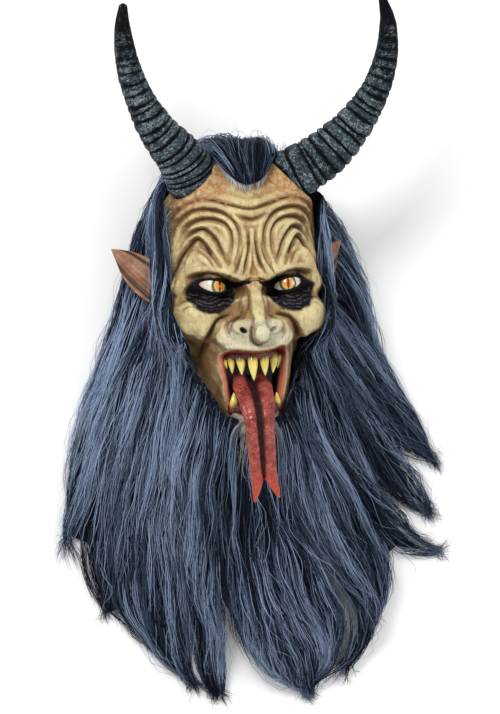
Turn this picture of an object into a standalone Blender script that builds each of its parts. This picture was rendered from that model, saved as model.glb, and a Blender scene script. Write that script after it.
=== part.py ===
"""Krampus mask: a hollow latex hood with horns, eyes, teeth and a tongue, a fur wig and a fur beard.

The mask lies on its back. The head is laid out in millimetres: u runs to the viewer's right, v up the face
and w out of the face, from a point on the head's axis at the height of the eyes. In the part's own frame
they run along X, Y and Z.
"""
import bmesh
import bpy
import numpy as np
from math import cos, pi, radians, sin
from mathutils import Vector

MM = 0.001
# Depth of the surface that the mask lies on, below the head's axis.
FLOOR_W = -118.0
# The middle of the mask's outline from above, measured from the head's axis: the part's frame starts there.
MIDDLE = (26.6, -77.6)
# The space between pieces of the mask that touch.
GAP = 0.6

# The head's main masses: centre, half sizes and how widely each blends into the others. The head is mirrored.
MASSES = (
    ((0, 70, -8), (86, 98, 98), 0),
    ((0, -6, 2), (80, 104, 82), 25),
    ((0, -92, 34), (50, 80, 52), 18),
    ((60, -36, 44), (36, 27, 38), 14),
    ((60, -42, 62), (24, 19, 19), 12),
    ((0, -64, 77), (44, 21, 24), 12),
)
HOLLOWS = (
    ((78, -100, 64), (17, 34, 26), 16),
    ((50, -5, 92), (29, 21, 24), 8),
)
BAG = ((51, -20, 68), (21, 9, 10), 7)
# Rounded bars: both ends, both radii and the blend.
TEMPLE = ((67, 92, 14), (68, 0, 24), 22, 22, 22)
NECK = ((0, -60, -24), (0, -225, -24), 64, 62, 25)
CHIN = ((0, -165, 62), (9, -163, 62), 19, 19, 16)
BROW = ((63, 27, 62), (16, 12, 86), 12.5, 11, 12)
NOSE_BODY = ((0, -4, 80), (0, -48, 92), 12, 17, 10)
NOSE_RIDGE = ((0, 0, 89), (0, -50, 114), 7, 8, 5)
NOSE_TIP = ((0, -59, 121), (10.5, 12, 12), 6)
NOSE_WING = ((19, -50, 94), (11, 10, 12), 7)
HORN_COLLAR = ((46, 100, 38), (58, 125, 42), 35, 33, 18)

EYE_CENTRE = (45.0, 0.0, 61.0)
EYE_RADIUS = 18.0
EYE_OPENING = (17.5, 8.0)
EYE_SLANT = 8.0
LID_HEIGHT = 2.0

MOUTH_TOP = -79.0
MOUTH_BOTTOM = -152.0
MOUTH_HALF_WIDTH = (41.0, 29.0)
MOUTH_CORNER = 10.0
MOUTH_FLOOR_W = 46.0
LIP_HEIGHT = 4.0

# Creases of the face: points across and up, depth and width, and whether the other side has the same.
CREASES = (
    (((-88, 71), (-66, 100), (-24, 96), (0, 90), (24, 96), (66, 100), (88, 71)), 3.4, 3.0, False),
    (((-20, 84), (0, 77), (20, 84)), 3.0, 2.6, False),
    (((87, 50), (83, 72), (70, 87), (54, 91), (35, 87), (22, 77), (15, 60), (22, 22)), 3.4, 2.8, True),
    (((81, 52), (72, 70), (60, 78), (45, 79), (31, 73), (24, 61), (24, 45), (28, 32)), 3.6, 2.8, True),
    (((80, 42), (72, 58), (60, 67), (52, 66), (42, 55), (36, 42), (28, 24)), 4.0, 2.8, True),
    (((95, -18), (88, 12), (79, 34), (68, 50), (60, 56), (53, 48), (46, 35), (38, 20)), 4.4, 3.0, True),
    (((5, 68), (4, 50), (8, 28), (15, 8)), 3.4, 2.6, True),
    (((-17, 1), (0, 6), (17, 1)), 3.2, 2.2, False),
    (((24, -34), (42, -40), (52, -56), (58, -76), (59, -95), (54, -116)), 6.5, 4.2, True),
    (((94, -46), (82, -61), (68, -68), (59, -68)), 4.0, 3.0, True),
    (((88, -58), (80, -80), (67, -104), (56, -124)), 3.6, 3.0, True),
)

HOOD_WALL = 4.5
NECK_CUT_V = -205.0
SKIN_ROWS = 132
SKIN_COLUMNS = 112
HOOD_TRIANGLES = 2200
CAVITY_TRIANGLES = 420

EAR_BASE = (87.0, -4.0, -18.0)
EAR_SUNK = 26.0
EAR_TIP = (143.0, 53.0, -58.0)
EAR_WIDTH = 52.0
EAR_THICKNESS = 8.0
EAR_DETAIL = 3
EAR_CLEARANCE_TRIANGLES = 110

# The horn's axis from its seat on the forehead to its tip, the horn's thickness along it, and how far
# both horns lean to the viewer's right, as the photograph shows.
HORN_AXIS = (
    (58, 128, 42), (88, 154, 52), (119, 187, 62), (142, 224, 74), (156, 264, 86), (160, 304, 95),
    (156, 335, 100),
)
HORN_LEAN = (0, 14, 17, 18, 17, 15, 12)
HORN_DIAMETERS = (62, 56, 44, 34, 28, 20, 9)
HORN_SIDES = 12
HORN_RINGS = 11
HORN_RINGED_SHARE = 0.8
HORN_RING_DEPTH = 0.05
HORN_SEAT = Vector((0.70, 0.68, 0.22)).normalized()

# Fangs: place across the mouth, length and width.
UPPER_FANGS = (
    (-31, 12, 8), (-26, 20, 8), (-15, 21, 10), (-1, 27, 11), (14, 22, 10), (26, 20, 9), (33, 12, 8),
)
LOWER_FANGS = ((-27, 14, 8), (27, 11, 9))

TONGUE_AXIS = (
    (-4, -106, 48), (-6.5, -120, 70), (-6.5, -138, 90), (-4, -158, 98), (-1.5, -190, 100), (-0.3, -231, 99),
)
TONGUE_WIDTHS = (38, 48, 45, 38, 33, 32)
TONGUE_THICKNESS = 10.0
TONGUE_TIPS = ((-12, -256, 97), (18, -252, 97))
TONGUE_PRONG_START = 10.0

# The face's outline against the hair, seen from in front.
HAIRLINE = (
    (0, 117), (-14, 121), (-24, 132), (-32, 152), (-60, 168), (-97, 130), (-97, 100), (-94, 60), (-94, 0),
    (-97, -26), (-84, -66), (-62, -103), (-46, -134), (-38, -152), (0, -163), (36, -152), (44, -130),
    (60, -103), (82, -66), (97, -26), (94, 0), (94, 60), (97, 100), (97, 130), (60, 168), (34, 150),
    (24, 132), (14, 121),
)
CHIN_WINDOW = (60.0, -110.0, -400.0)
CAP_THICKNESS = 14.0
UNDER_FUR = 4.2
FUR_GAP = 1.2
FUR_APART = 4.0
CLEARANCE_TRIANGLES = 520

# Locks as they fall, seen from in front. Each has its height at the root, and how fast it falls to the floor.
WIG_LOCKS = (
    (140, 5.0, 44, ((-74, 112), (-93, 74), (-111, -20), (-145, -105), (-174, -170), (-197, -236))),
    (84, 2.6, 50, ((-74, 50), (-98, -20), (-123, -104), (-156, -186), (-184, -250), (-207, -302))),
    (140, 3.2, 50, ((-82, -8), (-102, -70), (-130, -150), (-152, -236), (-170, -320), (-157, -390))),
    (140, 2.7, 50, ((-82, -26), (-98, -116), (-118, -204), (-134, -300), (-134, -366), (-110, -428))),
    (140, 2.4, 48, ((-78, -46), (-86, -150), (-101, -240), (-110, -330), (-100, -402), (-80, -463))),
    (130, 2.4, 44, ((-74, -66), (-73, -170), (-81, -262), (-81, -354), (-72, -428), (-56, -481))),
    (140, 5.0, 44, ((74, 112), (126, 76), (158, 14), (176, -48), (187, -94))),
    (84, 2.2, 46, ((76, 56), (132, 12), (164, -52), (194, -114), (226, -154))),
    (84, 2.2, 46, ((78, 16), (142, -60), (186, -126), (221, -166), (248, -190))),
    (140, 3.0, 50, ((84, -14), (138, -100), (190, -164), (230, -200), (256, -225))),
    (140, 2.6, 52, ((78, -50), (124, -140), (182, -214), (222, -252), (254, -283))),
    (140, 2.3, 52, ((70, -80), (110, -172), (165, -262), (212, -318), (262, -337))),
    (140, 2.2, 50, ((60, -100), (90, -196), (140, -284), (182, -350), (184, -406))),
    (13, 1.0, 70, ((-40, 60), (-52, -100), (-66, -220), (-70, -320), (-62, -400))),
    (13, 1.0, 70, ((0, 60), (0, -100), (4, -220), (0, -310), (-14, -372))),
    (13, 1.0, 70, ((40, 60), (56, -100), (72, -220), (86, -310), (100, -372))),
)
BEARD_LOCKS = (
    (180, 1.5, 42, ((-58, -112), (-66, -180), (-68, -262), (-57, -368), (-44, -440), (-32, -494))),
    (189, 1.5, 42, ((-46, -134), (-48, -200), (-44, -290), (-37, -380), (-28, -440), (-16, -495))),
    (197, 1.4, 42, ((-26, -152), (-28, -220), (-20, -312), (4, -394), (34, -452), (78, -496))),
    (198, 1.4, 44, ((-4, -160), (-6, -240), (8, -336), (36, -412), (64, -464), (90, -498))),
    (198, 1.4, 44, ((8, -158), (14, -240), (38, -336), (76, -404), (94, -450), (94, -486))),
    (197, 1.4, 42, ((18, -156), (28, -240), (62, -334), (108, -394), (120, -446), (98, -492))),
    (189, 1.5, 44, ((38, -140), (56, -216), (100, -306), (146, -372), (156, -424), (136, -474))),
    (180, 1.5, 42, ((54, -116), (78, -190), (124, -270), (164, -338), (174, -384), (168, -422))),
)
LOCK_SIDES = 10
LOCK_ROWS = 24
LOCK_THICKNESS = 0.42
LOCK_TIP = 7.0
LOCK_LIFT = 3.0
FUR_VOXEL = 5.0
WIG_TRIANGLES = 1800
BEARD_TRIANGLES = 940

# The way in to the neck under the beard: its points and the half sizes across and up.
PASSAGE_AXIS = ((0, -150, -40), (2, -240, -60), (4, -330, -78), (-2, -420, -92), (-8, -520, -96))
PASSAGE_HALF_SIZES = ((58, 50), (46, 30), (36, 22), (18, 12), (18, 12))

FINISHES = {
    "latex": ((0.58, 0.43, 0.25), 0.45),
    "horn": ((0.05, 0.06, 0.075), 0.5),
    "eye": ((0.75, 0.42, 0.12), 0.08),
    "teeth": ((0.72, 0.56, 0.12), 0.3),
    "tongue": ((0.5, 0.09, 0.06), 0.35),
    "fur": ((0.06, 0.075, 0.13), 0.75),
}


def to_frame(points):
    """Places points of the head, in millimetres, in the part's frame, in metres."""
    return (np.asarray(points, float) - (*MIDDLE, FLOOR_W)) * MM


def collection(name):
    made = bpy.data.collections.new(name)
    bpy.context.scene.collection.children.link(made)
    return made


def material(name, finish):
    made = bpy.data.materials.new(name)
    made.use_nodes = True
    shader = made.node_tree.nodes["Principled BSDF"]
    colour, roughness = FINISHES[finish]
    shader.inputs["Base Color"].default_value = (*colour, 1)
    shader.inputs["Roughness"].default_value = roughness
    return made


def add_object(name, bm, group, finish=None):
    """Turns a bmesh into an object with its faces pointing out."""
    bm.normal_update()
    bmesh.ops.recalc_face_normals(bm, faces=bm.faces)
    mesh = bpy.data.meshes.new(name)
    bm.to_mesh(mesh)
    bm.free()
    made = bpy.data.objects.new(name, mesh)
    group.objects.link(made)
    if finish:
        mesh.materials.append(material(name, finish))
    else:
        made.hide_render = True
        made.display_type = "WIRE"
    return made


def apply_modifiers(obj):
    """Replaces an object's mesh by what its modifiers make of it."""
    bpy.context.view_layer.update()
    evaluated = obj.evaluated_get(bpy.context.evaluated_depsgraph_get())
    mesh = bpy.data.meshes.new_from_object(evaluated)
    obj.modifiers.clear()
    obj.data = mesh


def boolean(obj, other, operation="DIFFERENCE"):
    step = obj.modifiers.new(operation.lower(), "BOOLEAN")
    step.operation = operation
    step.object = other
    apply_modifiers(obj)


def remesh(obj, voxel):
    step = obj.modifiers.new("remesh", "REMESH")
    step.mode = "VOXEL"
    step.voxel_size = voxel * MM
    apply_modifiers(obj)


def simplify(obj, triangles):
    """Thins a mesh out to about the given number of triangles, keeping its form."""
    count = sum(len(face.vertices) - 2 for face in obj.data.polygons)
    if count <= triangles:
        return
    step = obj.modifiers.new("simplify", "DECIMATE")
    step.ratio = triangles / count
    apply_modifiers(obj)


def keep_largest(obj):
    """Keeps the largest connected body of a mesh."""
    bm = bmesh.new()
    bm.from_mesh(obj.data)
    left = set(bm.verts)
    bodies = []
    while left:
        reached = {left.pop()}
        edge = set(reached)
        while edge:
            edge = {e.other_vert(v) for v in edge for e in v.link_edges} - reached
            reached |= edge
        left -= reached
        bodies.append(reached)
    bodies.sort(key=len)
    loose = [v for body in bodies[:-1] for v in body]
    bmesh.ops.delete(bm, geom=loose, context="VERTS")
    bm.to_mesh(obj.data)
    bm.free()


def clearance(obj, group, gap=GAP):
    """A copy of a piece, grown by the gap, that cuts its neighbours clear of it."""
    bm = bmesh.new()
    bm.from_mesh(obj.data)
    made = add_object(f"{obj.name}_clearance", bm, group)
    step = made.modifiers.new("grow", "DISPLACE")
    step.mid_level = 0.0
    step.strength = gap * MM
    apply_modifiers(made)
    return made


def curve_points(points, count):
    """Points evenly spaced in turn on a smooth curve through the given points."""
    known = np.array(points, float)
    known = np.vstack([2 * known[0] - known[1], known, 2 * known[-1] - known[-2]])
    t = np.linspace(0, len(known) - 3 - 1e-6, count)
    i = t.astype(int)
    f = (t - i)[:, None]
    a, b, c, d = known[i], known[i + 1], known[i + 2], known[i + 3]
    return 0.5 * (2 * b + (c - a) * f + (2 * a - 5 * b + 4 * c - d) * f**2 + (3 * b - a - 3 * c + d) * f**3)


def along(values, count):
    return np.interp(np.linspace(0, len(values) - 1, count), range(len(values)), values)


def surface(rows, columns, place):
    """A closed surface bent from a grid: place takes the shares of the way along it and round it."""
    bm = bmesh.new()
    bmesh.ops.create_grid(bm, x_segments=rows, y_segments=columns, size=0.5)
    shares = np.array([vert.co[:2] for vert in bm.verts]) + 0.5
    for vert, point in zip(bm.verts, to_frame(place(shares[:, 0], shares[:, 1]))):
        vert.co = point
    bmesh.ops.remove_doubles(bm, verts=bm.verts, dist=0.02 * MM)
    bmesh.ops.holes_fill(bm, edges=bm.edges, sides=0)
    return bm


def tube(path, half_widths, half_heights, across, sides):
    """A closed bar of oval section along a path, with half sizes across it and at right angles to that."""
    rows = len(path)
    tangents = np.gradient(path, axis=0)
    tangents /= np.linalg.norm(tangents, axis=1)[:, None]
    wide = across - tangents * np.sum(across * tangents, axis=1)[:, None]
    wide /= np.linalg.norm(wide, axis=1)[:, None]
    high = np.cross(tangents, wide)

    def place(s, t):
        row = np.rint(s * (rows - 1)).astype(int)
        angle = 2 * pi * t
        out = wide[row] * (np.cos(angle) * half_widths[row])[:, None]
        out += high[row] * (np.sin(angle) * half_heights[row])[:, None]
        return path[row] + out

    return surface(rows - 1, sides, place)


def ellipsoid(points, centre, radii):
    """Distance from an ellipsoid, negative inside."""
    scaled = (points - np.array(centre, float)) / np.array(radii, float)
    near = np.linalg.norm(scaled, axis=1)
    steep = np.linalg.norm(scaled / np.array(radii, float), axis=1)
    return near * (near - 1) / np.maximum(steep, 1e-9)


def bar(points, start, end, start_radius, end_radius):
    """Distance from a rounded bar, negative inside."""
    start, end = np.array(start, float), np.array(end, float)
    axis = end - start
    share = np.clip(((points - start) @ axis) / (axis @ axis), 0, 1)
    radius = start_radius + (end_radius - start_radius) * share
    return np.linalg.norm(points - start - share[:, None] * axis, axis=1) - radius


def join(first, second, blend):
    """Joins two forms with a soft transition."""
    if not blend:
        return np.minimum(first, second)
    share = np.clip(0.5 + 0.5 * (second - first) / blend, 0, 1)
    return second * (1 - share) + first * share - blend * share * (1 - share)


def carve(form, tool, blend):
    return -join(-form, tool, blend)


def head(points):
    """Distance from the modelled head, without its creases, eyes and mouth."""
    p = points * (1, 1, 1)
    p[:, 0] = np.abs(p[:, 0])
    form = np.full(len(p), 1e6)
    for centre, radii, blend in MASSES:
        form = join(form, ellipsoid(p, centre, radii), blend)
    form = join(form, bar(p, *NECK[:4]), NECK[4])
    form = join(form, bar(p, *TEMPLE[:4]), TEMPLE[4])
    form = join(form, bar(p, *CHIN[:4]), CHIN[4])
    form = carve(form, ellipsoid(p, *HOLLOWS[0][:2]), HOLLOWS[0][2])
    form = join(form, bar(p, *BROW[:4]), BROW[4])
    form = carve(form, ellipsoid(p, *HOLLOWS[1][:2]), HOLLOWS[1][2])
    form = join(form, ellipsoid(p, *BAG[:2]), BAG[2])
    form = join(form, bar(p, *NOSE_BODY[:4]), NOSE_BODY[4])
    form = join(form, ellipsoid(p, *NOSE_WING[:2]), NOSE_WING[2])
    form = join(form, bar(p, *NOSE_RIDGE[:4]), NOSE_RIDGE[4])
    form = join(form, ellipsoid(p, *NOSE_TIP[:2]), NOSE_TIP[2])
    form = join(form, bar(p, *HORN_COLLAR[:4]), HORN_COLLAR[4])
    seat = (p - np.array(HORN_AXIS[0])) @ np.array(HORN_SEAT)
    return carve(form, -seat, 4)


def ease(start, end, value):
    share = np.clip((value - start) / (end - start), 0, 1)
    return share * share * (3 - 2 * share)


def crease_relief(u, v):
    """Height of the creases and of the folds beside them."""
    relief = np.zeros_like(u)
    for points, depth, width, both in CREASES:
        line = curve_points(points, 8 * len(points))
        steps = np.linspace(0, 1, len(line))
        fade = np.sqrt(np.sin(pi * steps))
        for side in (1, -1) if both else (1,):
            far = np.hypot(u[:, None] - side * line[None, :, 0], v[:, None] - line[None, :, 1])
            nearest = far.argmin(axis=1)
            off = far[np.arange(len(u)), nearest] / width
            relief += depth * fade[nearest] * (0.42 * np.exp(-(((off - 2.1) / 1.1) ** 2)) - np.exp(-(off**2)))
    return relief


def mouth_edge(u, v):
    """Distance from the mouth's outline seen from in front, negative inside."""
    half = np.interp(v, (MOUTH_BOTTOM, MOUTH_TOP), MOUTH_HALF_WIDTH[::-1])
    across = np.abs(u) - half + MOUTH_CORNER
    up = np.abs(v - (MOUTH_TOP + MOUTH_BOTTOM) / 2) - (MOUTH_TOP - MOUTH_BOTTOM) / 2 + MOUTH_CORNER
    outside = np.hypot(np.maximum(across, 0), np.maximum(up, 0))
    return outside + np.minimum(np.maximum(across, up), 0) - MOUTH_CORNER


def eye_edge(u, v):
    """Distance from the outline of the eye's opening, negative inside."""
    x = np.abs(u) - EYE_CENTRE[0]
    y = v - EYE_CENTRE[1]
    slant = radians(EYE_SLANT)
    x, y = x * cos(slant) + y * sin(slant), y * cos(slant) - x * sin(slant)
    return (np.hypot(x / EYE_OPENING[0], y / EYE_OPENING[1]) - 1) * EYE_OPENING[1]


def eyeball(u, v):
    """Height of the eyeball's front, and of its rim outside it."""
    off = np.hypot(np.abs(u) - EYE_CENTRE[0], v - EYE_CENTRE[1])
    return EYE_CENTRE[2] + np.sqrt(np.maximum(EYE_RADIUS**2 - off**2, 0))


def rays(s, t):
    """Rays from inside the head out to its skin: s runs from the crown to the neck, t all the way round."""
    turn = 2 * t - 1
    angle = pi * (0.42 * turn + 0.58 * turn**3)
    knots = (0, 0.16, 0.86, 1)
    rise = np.radians(np.interp(s, knots, (90, 22, -14, -62)))
    start_v = np.interp(s, knots, (62, 62, -128, -128))
    start = np.stack([0 * s, start_v, np.interp(s, knots, (-6, 0, 10, 0))], axis=1)
    way = np.stack([np.sin(angle) * np.cos(rise), np.sin(rise), np.cos(angle) * np.cos(rise)], axis=1)
    return start, way


def reach(start, way, offset=0.0):
    """How far each ray goes until it meets the head, or a skin at an offset from it."""
    far = np.full(len(start), 185.0)
    for _ in range(56):
        far = np.maximum(far - 0.8 * (head(start + way * far[:, None]) - offset), 5)
    return far


def face_point(s, t):
    """A point of the hood's outer skin, with its creases, lids and mouth."""
    start, way = rays(s, t)
    skin = start + way * reach(start, way)[:, None]
    u, v, w = skin.T
    step = 1.0
    slope = np.stack([head(skin + step * axis) - head(skin - step * axis) for axis in np.eye(3)], axis=1)
    slope /= np.linalg.norm(slope, axis=1)[:, None]
    ahead = ease(0.1, 0.5, slope[:, 2]) * (w > 0)
    skin = skin + slope * (crease_relief(u, v) * ahead)[:, None]
    u, v, w = skin.T
    in_front = w > 30
    ball = eyeball(u, v)
    edge = eye_edge(u, v)
    lid = ease(9, 3, edge) * in_front
    w = w * (1 - lid) + (ball + LID_HEIGHT) * lid
    pit = ease(0.2, -1.4, edge) * in_front
    w = w * (1 - pit) + (ball - 4) * pit
    edge = mouth_edge(u, v)
    w = w + LIP_HEIGHT * np.exp(-(((edge - 4) / 3.5) ** 2)) * in_front
    mouth = ease(0.5, -5, edge) * in_front
    w = w * (1 - mouth) + MOUTH_FLOOR_W * mouth
    return np.stack([u, v, w], axis=1)


def neighbourhoods(values):
    """The three by three values round each place of a grid whose second side closes on itself."""
    padded = np.pad(np.pad(values, ((1, 1), (0, 0)), mode="edge"), ((0, 0), (1, 1)), mode="wrap")
    return np.lib.stride_tricks.sliding_window_view(padded, (3, 3))


def cavity_surface():
    """The hood's inside: its skin drawn in by the wall, clear of the face's hollows and open below."""
    rows, columns = SKIN_ROWS, SKIN_COLUMNS
    s, t = np.meshgrid(np.linspace(0, 1, rows + 1), np.linspace(0, 1, columns + 1)[:-1], indexing="ij")
    start, way = rays(s.ravel(), t.ravel())
    far = np.linalg.norm(face_point(s.ravel(), t.ravel()) - start, axis=1).reshape(s.shape)
    for _ in range(2):
        far = neighbourhoods(far).min(axis=(2, 3))
    for _ in range(3):
        far = np.minimum(far, neighbourhoods(far).mean(axis=(2, 3)))
    far[0] = far[0].min()
    inner = start + way * (far.ravel() - HOOD_WALL)[:, None]
    inner = inner.reshape(*s.shape, 3)
    inner = np.concatenate([inner, inner[:, :1]], axis=1)
    neck = int(rows * 0.9)
    below = np.linspace(0, 1, rows - neck + 1)[:, None, None]
    rim = inner[neck][None]
    inner[neck:] = rim * (1 - below) + (rim * (1, 0, 1) + (0, NECK_CUT_V - 30, 0)) * below

    def place(share_s, share_t):
        return inner[np.rint(share_s * rows).astype(int), np.rint(share_t * columns).astype(int)]

    return surface(rows, columns, place)


def ear(side, group):
    """A pointed ear, hollowed in front, swept back from the side of the head."""
    base, tip = np.array(EAR_BASE), np.array(EAR_TIP)
    rise = (tip - base) / np.linalg.norm(tip - base)
    out = np.cross(rise, (0.55, 0.1, 0.83))
    out /= np.linalg.norm(out)
    face = np.cross(out, rise)
    length = np.linalg.norm(tip - base) + EAR_SUNK
    bm = bmesh.new()
    bmesh.ops.create_icosphere(bm, subdivisions=EAR_DETAIL, radius=1)
    for vert in bm.verts:
        x, y, z = vert.co
        up = 0.5 + 0.5 * y
        half = EAR_WIDTH / 2 * (1 - up) ** 0.55 * (0.62 + 0.75 * up)
        across = x * half * 1.25
        deep = z * EAR_THICKNESS / 2 - 9 * (1 - (x * x)) * sin(pi * up) ** 0.8 * (1 if z > 0 else 0.75)
        point = base - EAR_SUNK * rise + rise * (length * up) + out * across + face * deep
        vert.co = to_frame(point * (side, 1, 1))
    return add_object("ear_form", bm, group)


def latex_hood(parts, cutters):
    hood = add_object("latex_hood", surface(SKIN_ROWS, SKIN_COLUMNS, face_point), parts, "latex")
    ears = [ear(side, cutters) for side in (-1, 1)]
    for form in ears:
        boolean(hood, form, "UNION")
    keep_largest(hood)
    simplify(hood, HOOD_TRIANGLES)
    outside = clearance(hood, cutters)
    cavity = add_object("hood_cavity", cavity_surface(), cutters)
    simplify(cavity, CAVITY_TRIANGLES)
    boolean(hood, cavity)
    neck = box_cutter("neck_cut", (0, NECK_CUT_V - 100, 0), (400, 200, 400), cutters)
    boolean(hood, neck)
    keep_largest(hood)
    return outside, ears


def chin_window(cutters):
    """The front of the neck, which the beard covers and the wig doesn't."""
    width, top, bottom = CHIN_WINDOW
    return box_cutter("chin_window", (0, (top + bottom) / 2, 180), (2 * width, top - bottom, 420), cutters)


def box_cutter(name, centre, size, group):
    bm = bmesh.new()
    bmesh.ops.create_cube(bm, size=1)
    for vert in bm.verts:
        vert.co = to_frame([c + k * s for c, k, s in zip(centre, vert.co, size)])
    return add_object(name, bm, group)


def horn(name, side, parts):
    """A curved horn with raised rings that fade out towards its smooth tip."""
    rows = 2 * HORN_RINGS + 7
    path = curve_points(HORN_AXIS, rows)
    path[0] -= np.array(HORN_SEAT) * HORN_DIAMETERS[0] / 4
    share = np.linspace(0, 1, rows)
    radius = along(HORN_DIAMETERS, rows) / 2
    ringed = np.where(share < HORN_RINGED_SHARE, 1 - 0.5 * share, 0)
    radius *= 1 + HORN_RING_DEPTH * ringed * np.where(np.arange(rows) % 2, 1, -1)
    radius[0] = HORN_DIAMETERS[0] / 2
    mirrored = path * (side, 1, 1)
    mirrored[:, 0] += curve_points(tuple((lean,) for lean in HORN_LEAN), rows)[:, 0]
    bm = tube(mirrored, radius, radius, np.array((0.0, 0.0, 1.0)), HORN_SIDES)
    return add_object(name, bm, parts, "horn")


def horn_seat_cut(side, cutters):
    """Everything behind the plane that a horn stands on."""
    bm = bmesh.new()
    bmesh.ops.create_cube(bm, size=1)
    turn = HORN_SEAT.to_track_quat("Z", "Y").to_matrix()
    for vert in bm.verts:
        local = Vector((vert.co.x * 160, vert.co.y * 160, vert.co.z * 80 - 40 + GAP))
        point = Vector(HORN_AXIS[0]) + turn @ local
        vert.co = to_frame((point.x * side, point.y, point.z))
    return add_object("horn_seat", bm, cutters)


def eye(name, side, hood_clearance, parts):
    """The domed front of an eye, set behind the lids."""
    bm = bmesh.new()
    bmesh.ops.create_uvsphere(bm, u_segments=12, v_segments=8, radius=EYE_RADIUS * MM)
    centre = Vector(to_frame((side * EYE_CENTRE[0], EYE_CENTRE[1], EYE_CENTRE[2])))
    bmesh.ops.translate(bm, verts=bm.verts, vec=centre)
    back = centre + Vector((0, 0, 0.35 * EYE_RADIUS * MM))
    cut = bmesh.ops.bisect_plane(bm, geom=bm.verts[:] + bm.edges[:] + bm.faces[:], plane_co=back,
                                 plane_no=(0, 0, -1), clear_outer=True)
    rim = [part for part in cut["geom_cut"] if isinstance(part, bmesh.types.BMEdge)]
    bmesh.ops.edgeloop_fill(bm, edges=rim)
    made = add_object(name, bm, parts, "eye")
    boolean(made, hood_clearance)
    keep_largest(made)
    return made


def fang(root, tip, radius):
    """A curved, pointed tooth."""
    path = curve_points((root, (np.array(root) + np.array(tip)) / 2 + (0, 0, 1.5), tip), 5)
    radii = radius * np.array((0.85, 1.0, 0.85, 0.5, 0.06))
    return tube(path, radii, radii * 0.85, np.array((1.0, 0.0, 0.0)), 6)


def merge_into(bm, other):
    mesh = bpy.data.meshes.new("merged")
    other.to_mesh(mesh)
    other.free()
    bm.from_mesh(mesh)
    bpy.data.meshes.remove(mesh)


def gum_w(u):
    """How far forward the gum stands at each place across the mouth."""
    return 82 - 0.021 * u * u


def jaw_of_teeth(name, fangs, gum_v, direction, hood_clearance, parts, cutters):
    """A curved gum with its fangs as one casting."""
    half = np.interp(gum_v, (MOUTH_BOTTOM, MOUTH_TOP), MOUTH_HALF_WIDTH[::-1])
    path = np.array([(u, gum_v, gum_w(u) - 4) for u in np.linspace(-half, half, 7)])
    thick = np.full(len(path), 6.5)
    bm = tube(path, thick * 1.25, thick, np.array((0.0, 1.0, 0.0)), 6)
    made = add_object(name, bm, parts, "teeth")
    for u, length, width in fangs:
        root = (u, gum_v + direction * 2, gum_w(u) - 3)
        tip = (u * 0.97, gum_v - direction * (length + 3), gum_w(u) - 1)
        boolean(made, add_object("fang", fang(root, tip, width / 2), cutters), "UNION")
    back = box_cutter(f"{name}_back", (0, gum_v, 40), (200, 60, 2 * (MOUTH_FLOOR_W - 40 + GAP)), cutters)
    boolean(made, back)
    boolean(made, hood_clearance)
    keep_largest(made)
    return made


def tongue(hood_clearance, parts, cutters):
    """A long tongue out of the mouth and over the lip, grooved down the middle and forked at its end."""
    rows = 11
    across = np.array((1.0, 0.0, 0.0))
    path = curve_points(TONGUE_AXIS, rows)
    half = along(TONGUE_WIDTHS, rows) / 2
    thick = np.full(rows, TONGUE_THICKNESS / 2)
    made = add_object("tongue", tube(path, half, thick, across, 10), parts, "tongue")
    for tip in TONGUE_TIPS:
        start = path[-1] + ((tip[0] - path[-1][0]) * 0.42, TONGUE_PRONG_START, 0)
        prong = curve_points((start, (start + tip) / 2 + (0.12 * (tip[0] - path[-1][0]), 0, 0), tip), 5)
        radii = TONGUE_WIDTHS[-1] / 2 * np.array((0.5, 0.52, 0.46, 0.3, 0.05))
        form = add_object("prong", tube(prong, radii, radii * 0.62, across, 8), cutters)
        boolean(made, form, "UNION")
    lift = TONGUE_THICKNESS * 0.62
    groove = tube(path[1:] + (0, 0, lift), np.full(rows - 1, 4.0), np.full(rows - 1, 3.2), across, 6)
    boolean(made, add_object("tongue_groove", groove, cutters))
    boolean(made, hood_clearance)
    keep_largest(made)
    return made


def lock(root_height, fall, width, plan, grow=0.0):
    """A tapering lock of fur that falls from its root on the head and runs out over the floor."""
    flat = curve_points(plan, LOCK_ROWS)
    share = np.linspace(0, 1, LOCK_ROWS)
    height = FLOOR_W + LOCK_LIFT + (root_height - LOCK_LIFT) * (1 - share) ** fall
    path = np.column_stack([flat, height])
    for end, inner in ((0, 1), (-1, -2)):
        path[end] += grow * (path[end] - path[inner]) / np.linalg.norm(path[end] - path[inner])
    taper = np.minimum(1, 0.55 + 1.6 * share) * np.sqrt(np.clip(1.04 - share**2.2, 0, 1))
    half = np.maximum(width / 2 * taper, LOCK_TIP / 2)
    tangents = np.gradient(path, axis=0)
    across = np.cross(tangents, (0.0, 0.0, 1.0))
    across /= np.linalg.norm(across, axis=1)[:, None]
    thick = np.maximum(half * LOCK_THICKNESS * 2, LOCK_TIP) * np.where(share > 0.9, 0.8, 1.0) * 0.72
    return tube(path, half + grow, thick + grow, across, LOCK_SIDES)


def locks_form(name, locks, group, finish=None, grow=0.0, extra=None):
    """The outer form of a panel of fur: its locks grown together."""
    bm = bmesh.new()
    for spec in locks:
        merge_into(bm, lock(*spec, grow=grow))
    if extra:
        merge_into(bm, extra)
    made = add_object(name, bm, group, finish)
    remesh(made, FUR_VOXEL)
    keep_largest(made)
    return made


def trim_fur(fur, tools, triangles):
    """Thins out the mesh of a panel of fur and cuts it clear of its neighbours."""
    simplify(fur, triangles)
    for tool in tools:
        boolean(fur, tool)
    keep_largest(fur)


def scalp_cap():
    """The fur over the crown, the back and the sides of the head."""
    def place(s, t):
        start, way = rays(s * 0.93, t)
        return start + way * reach(start, way, CAP_THICKNESS)[:, None]
    return surface(48, 48, place)


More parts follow.
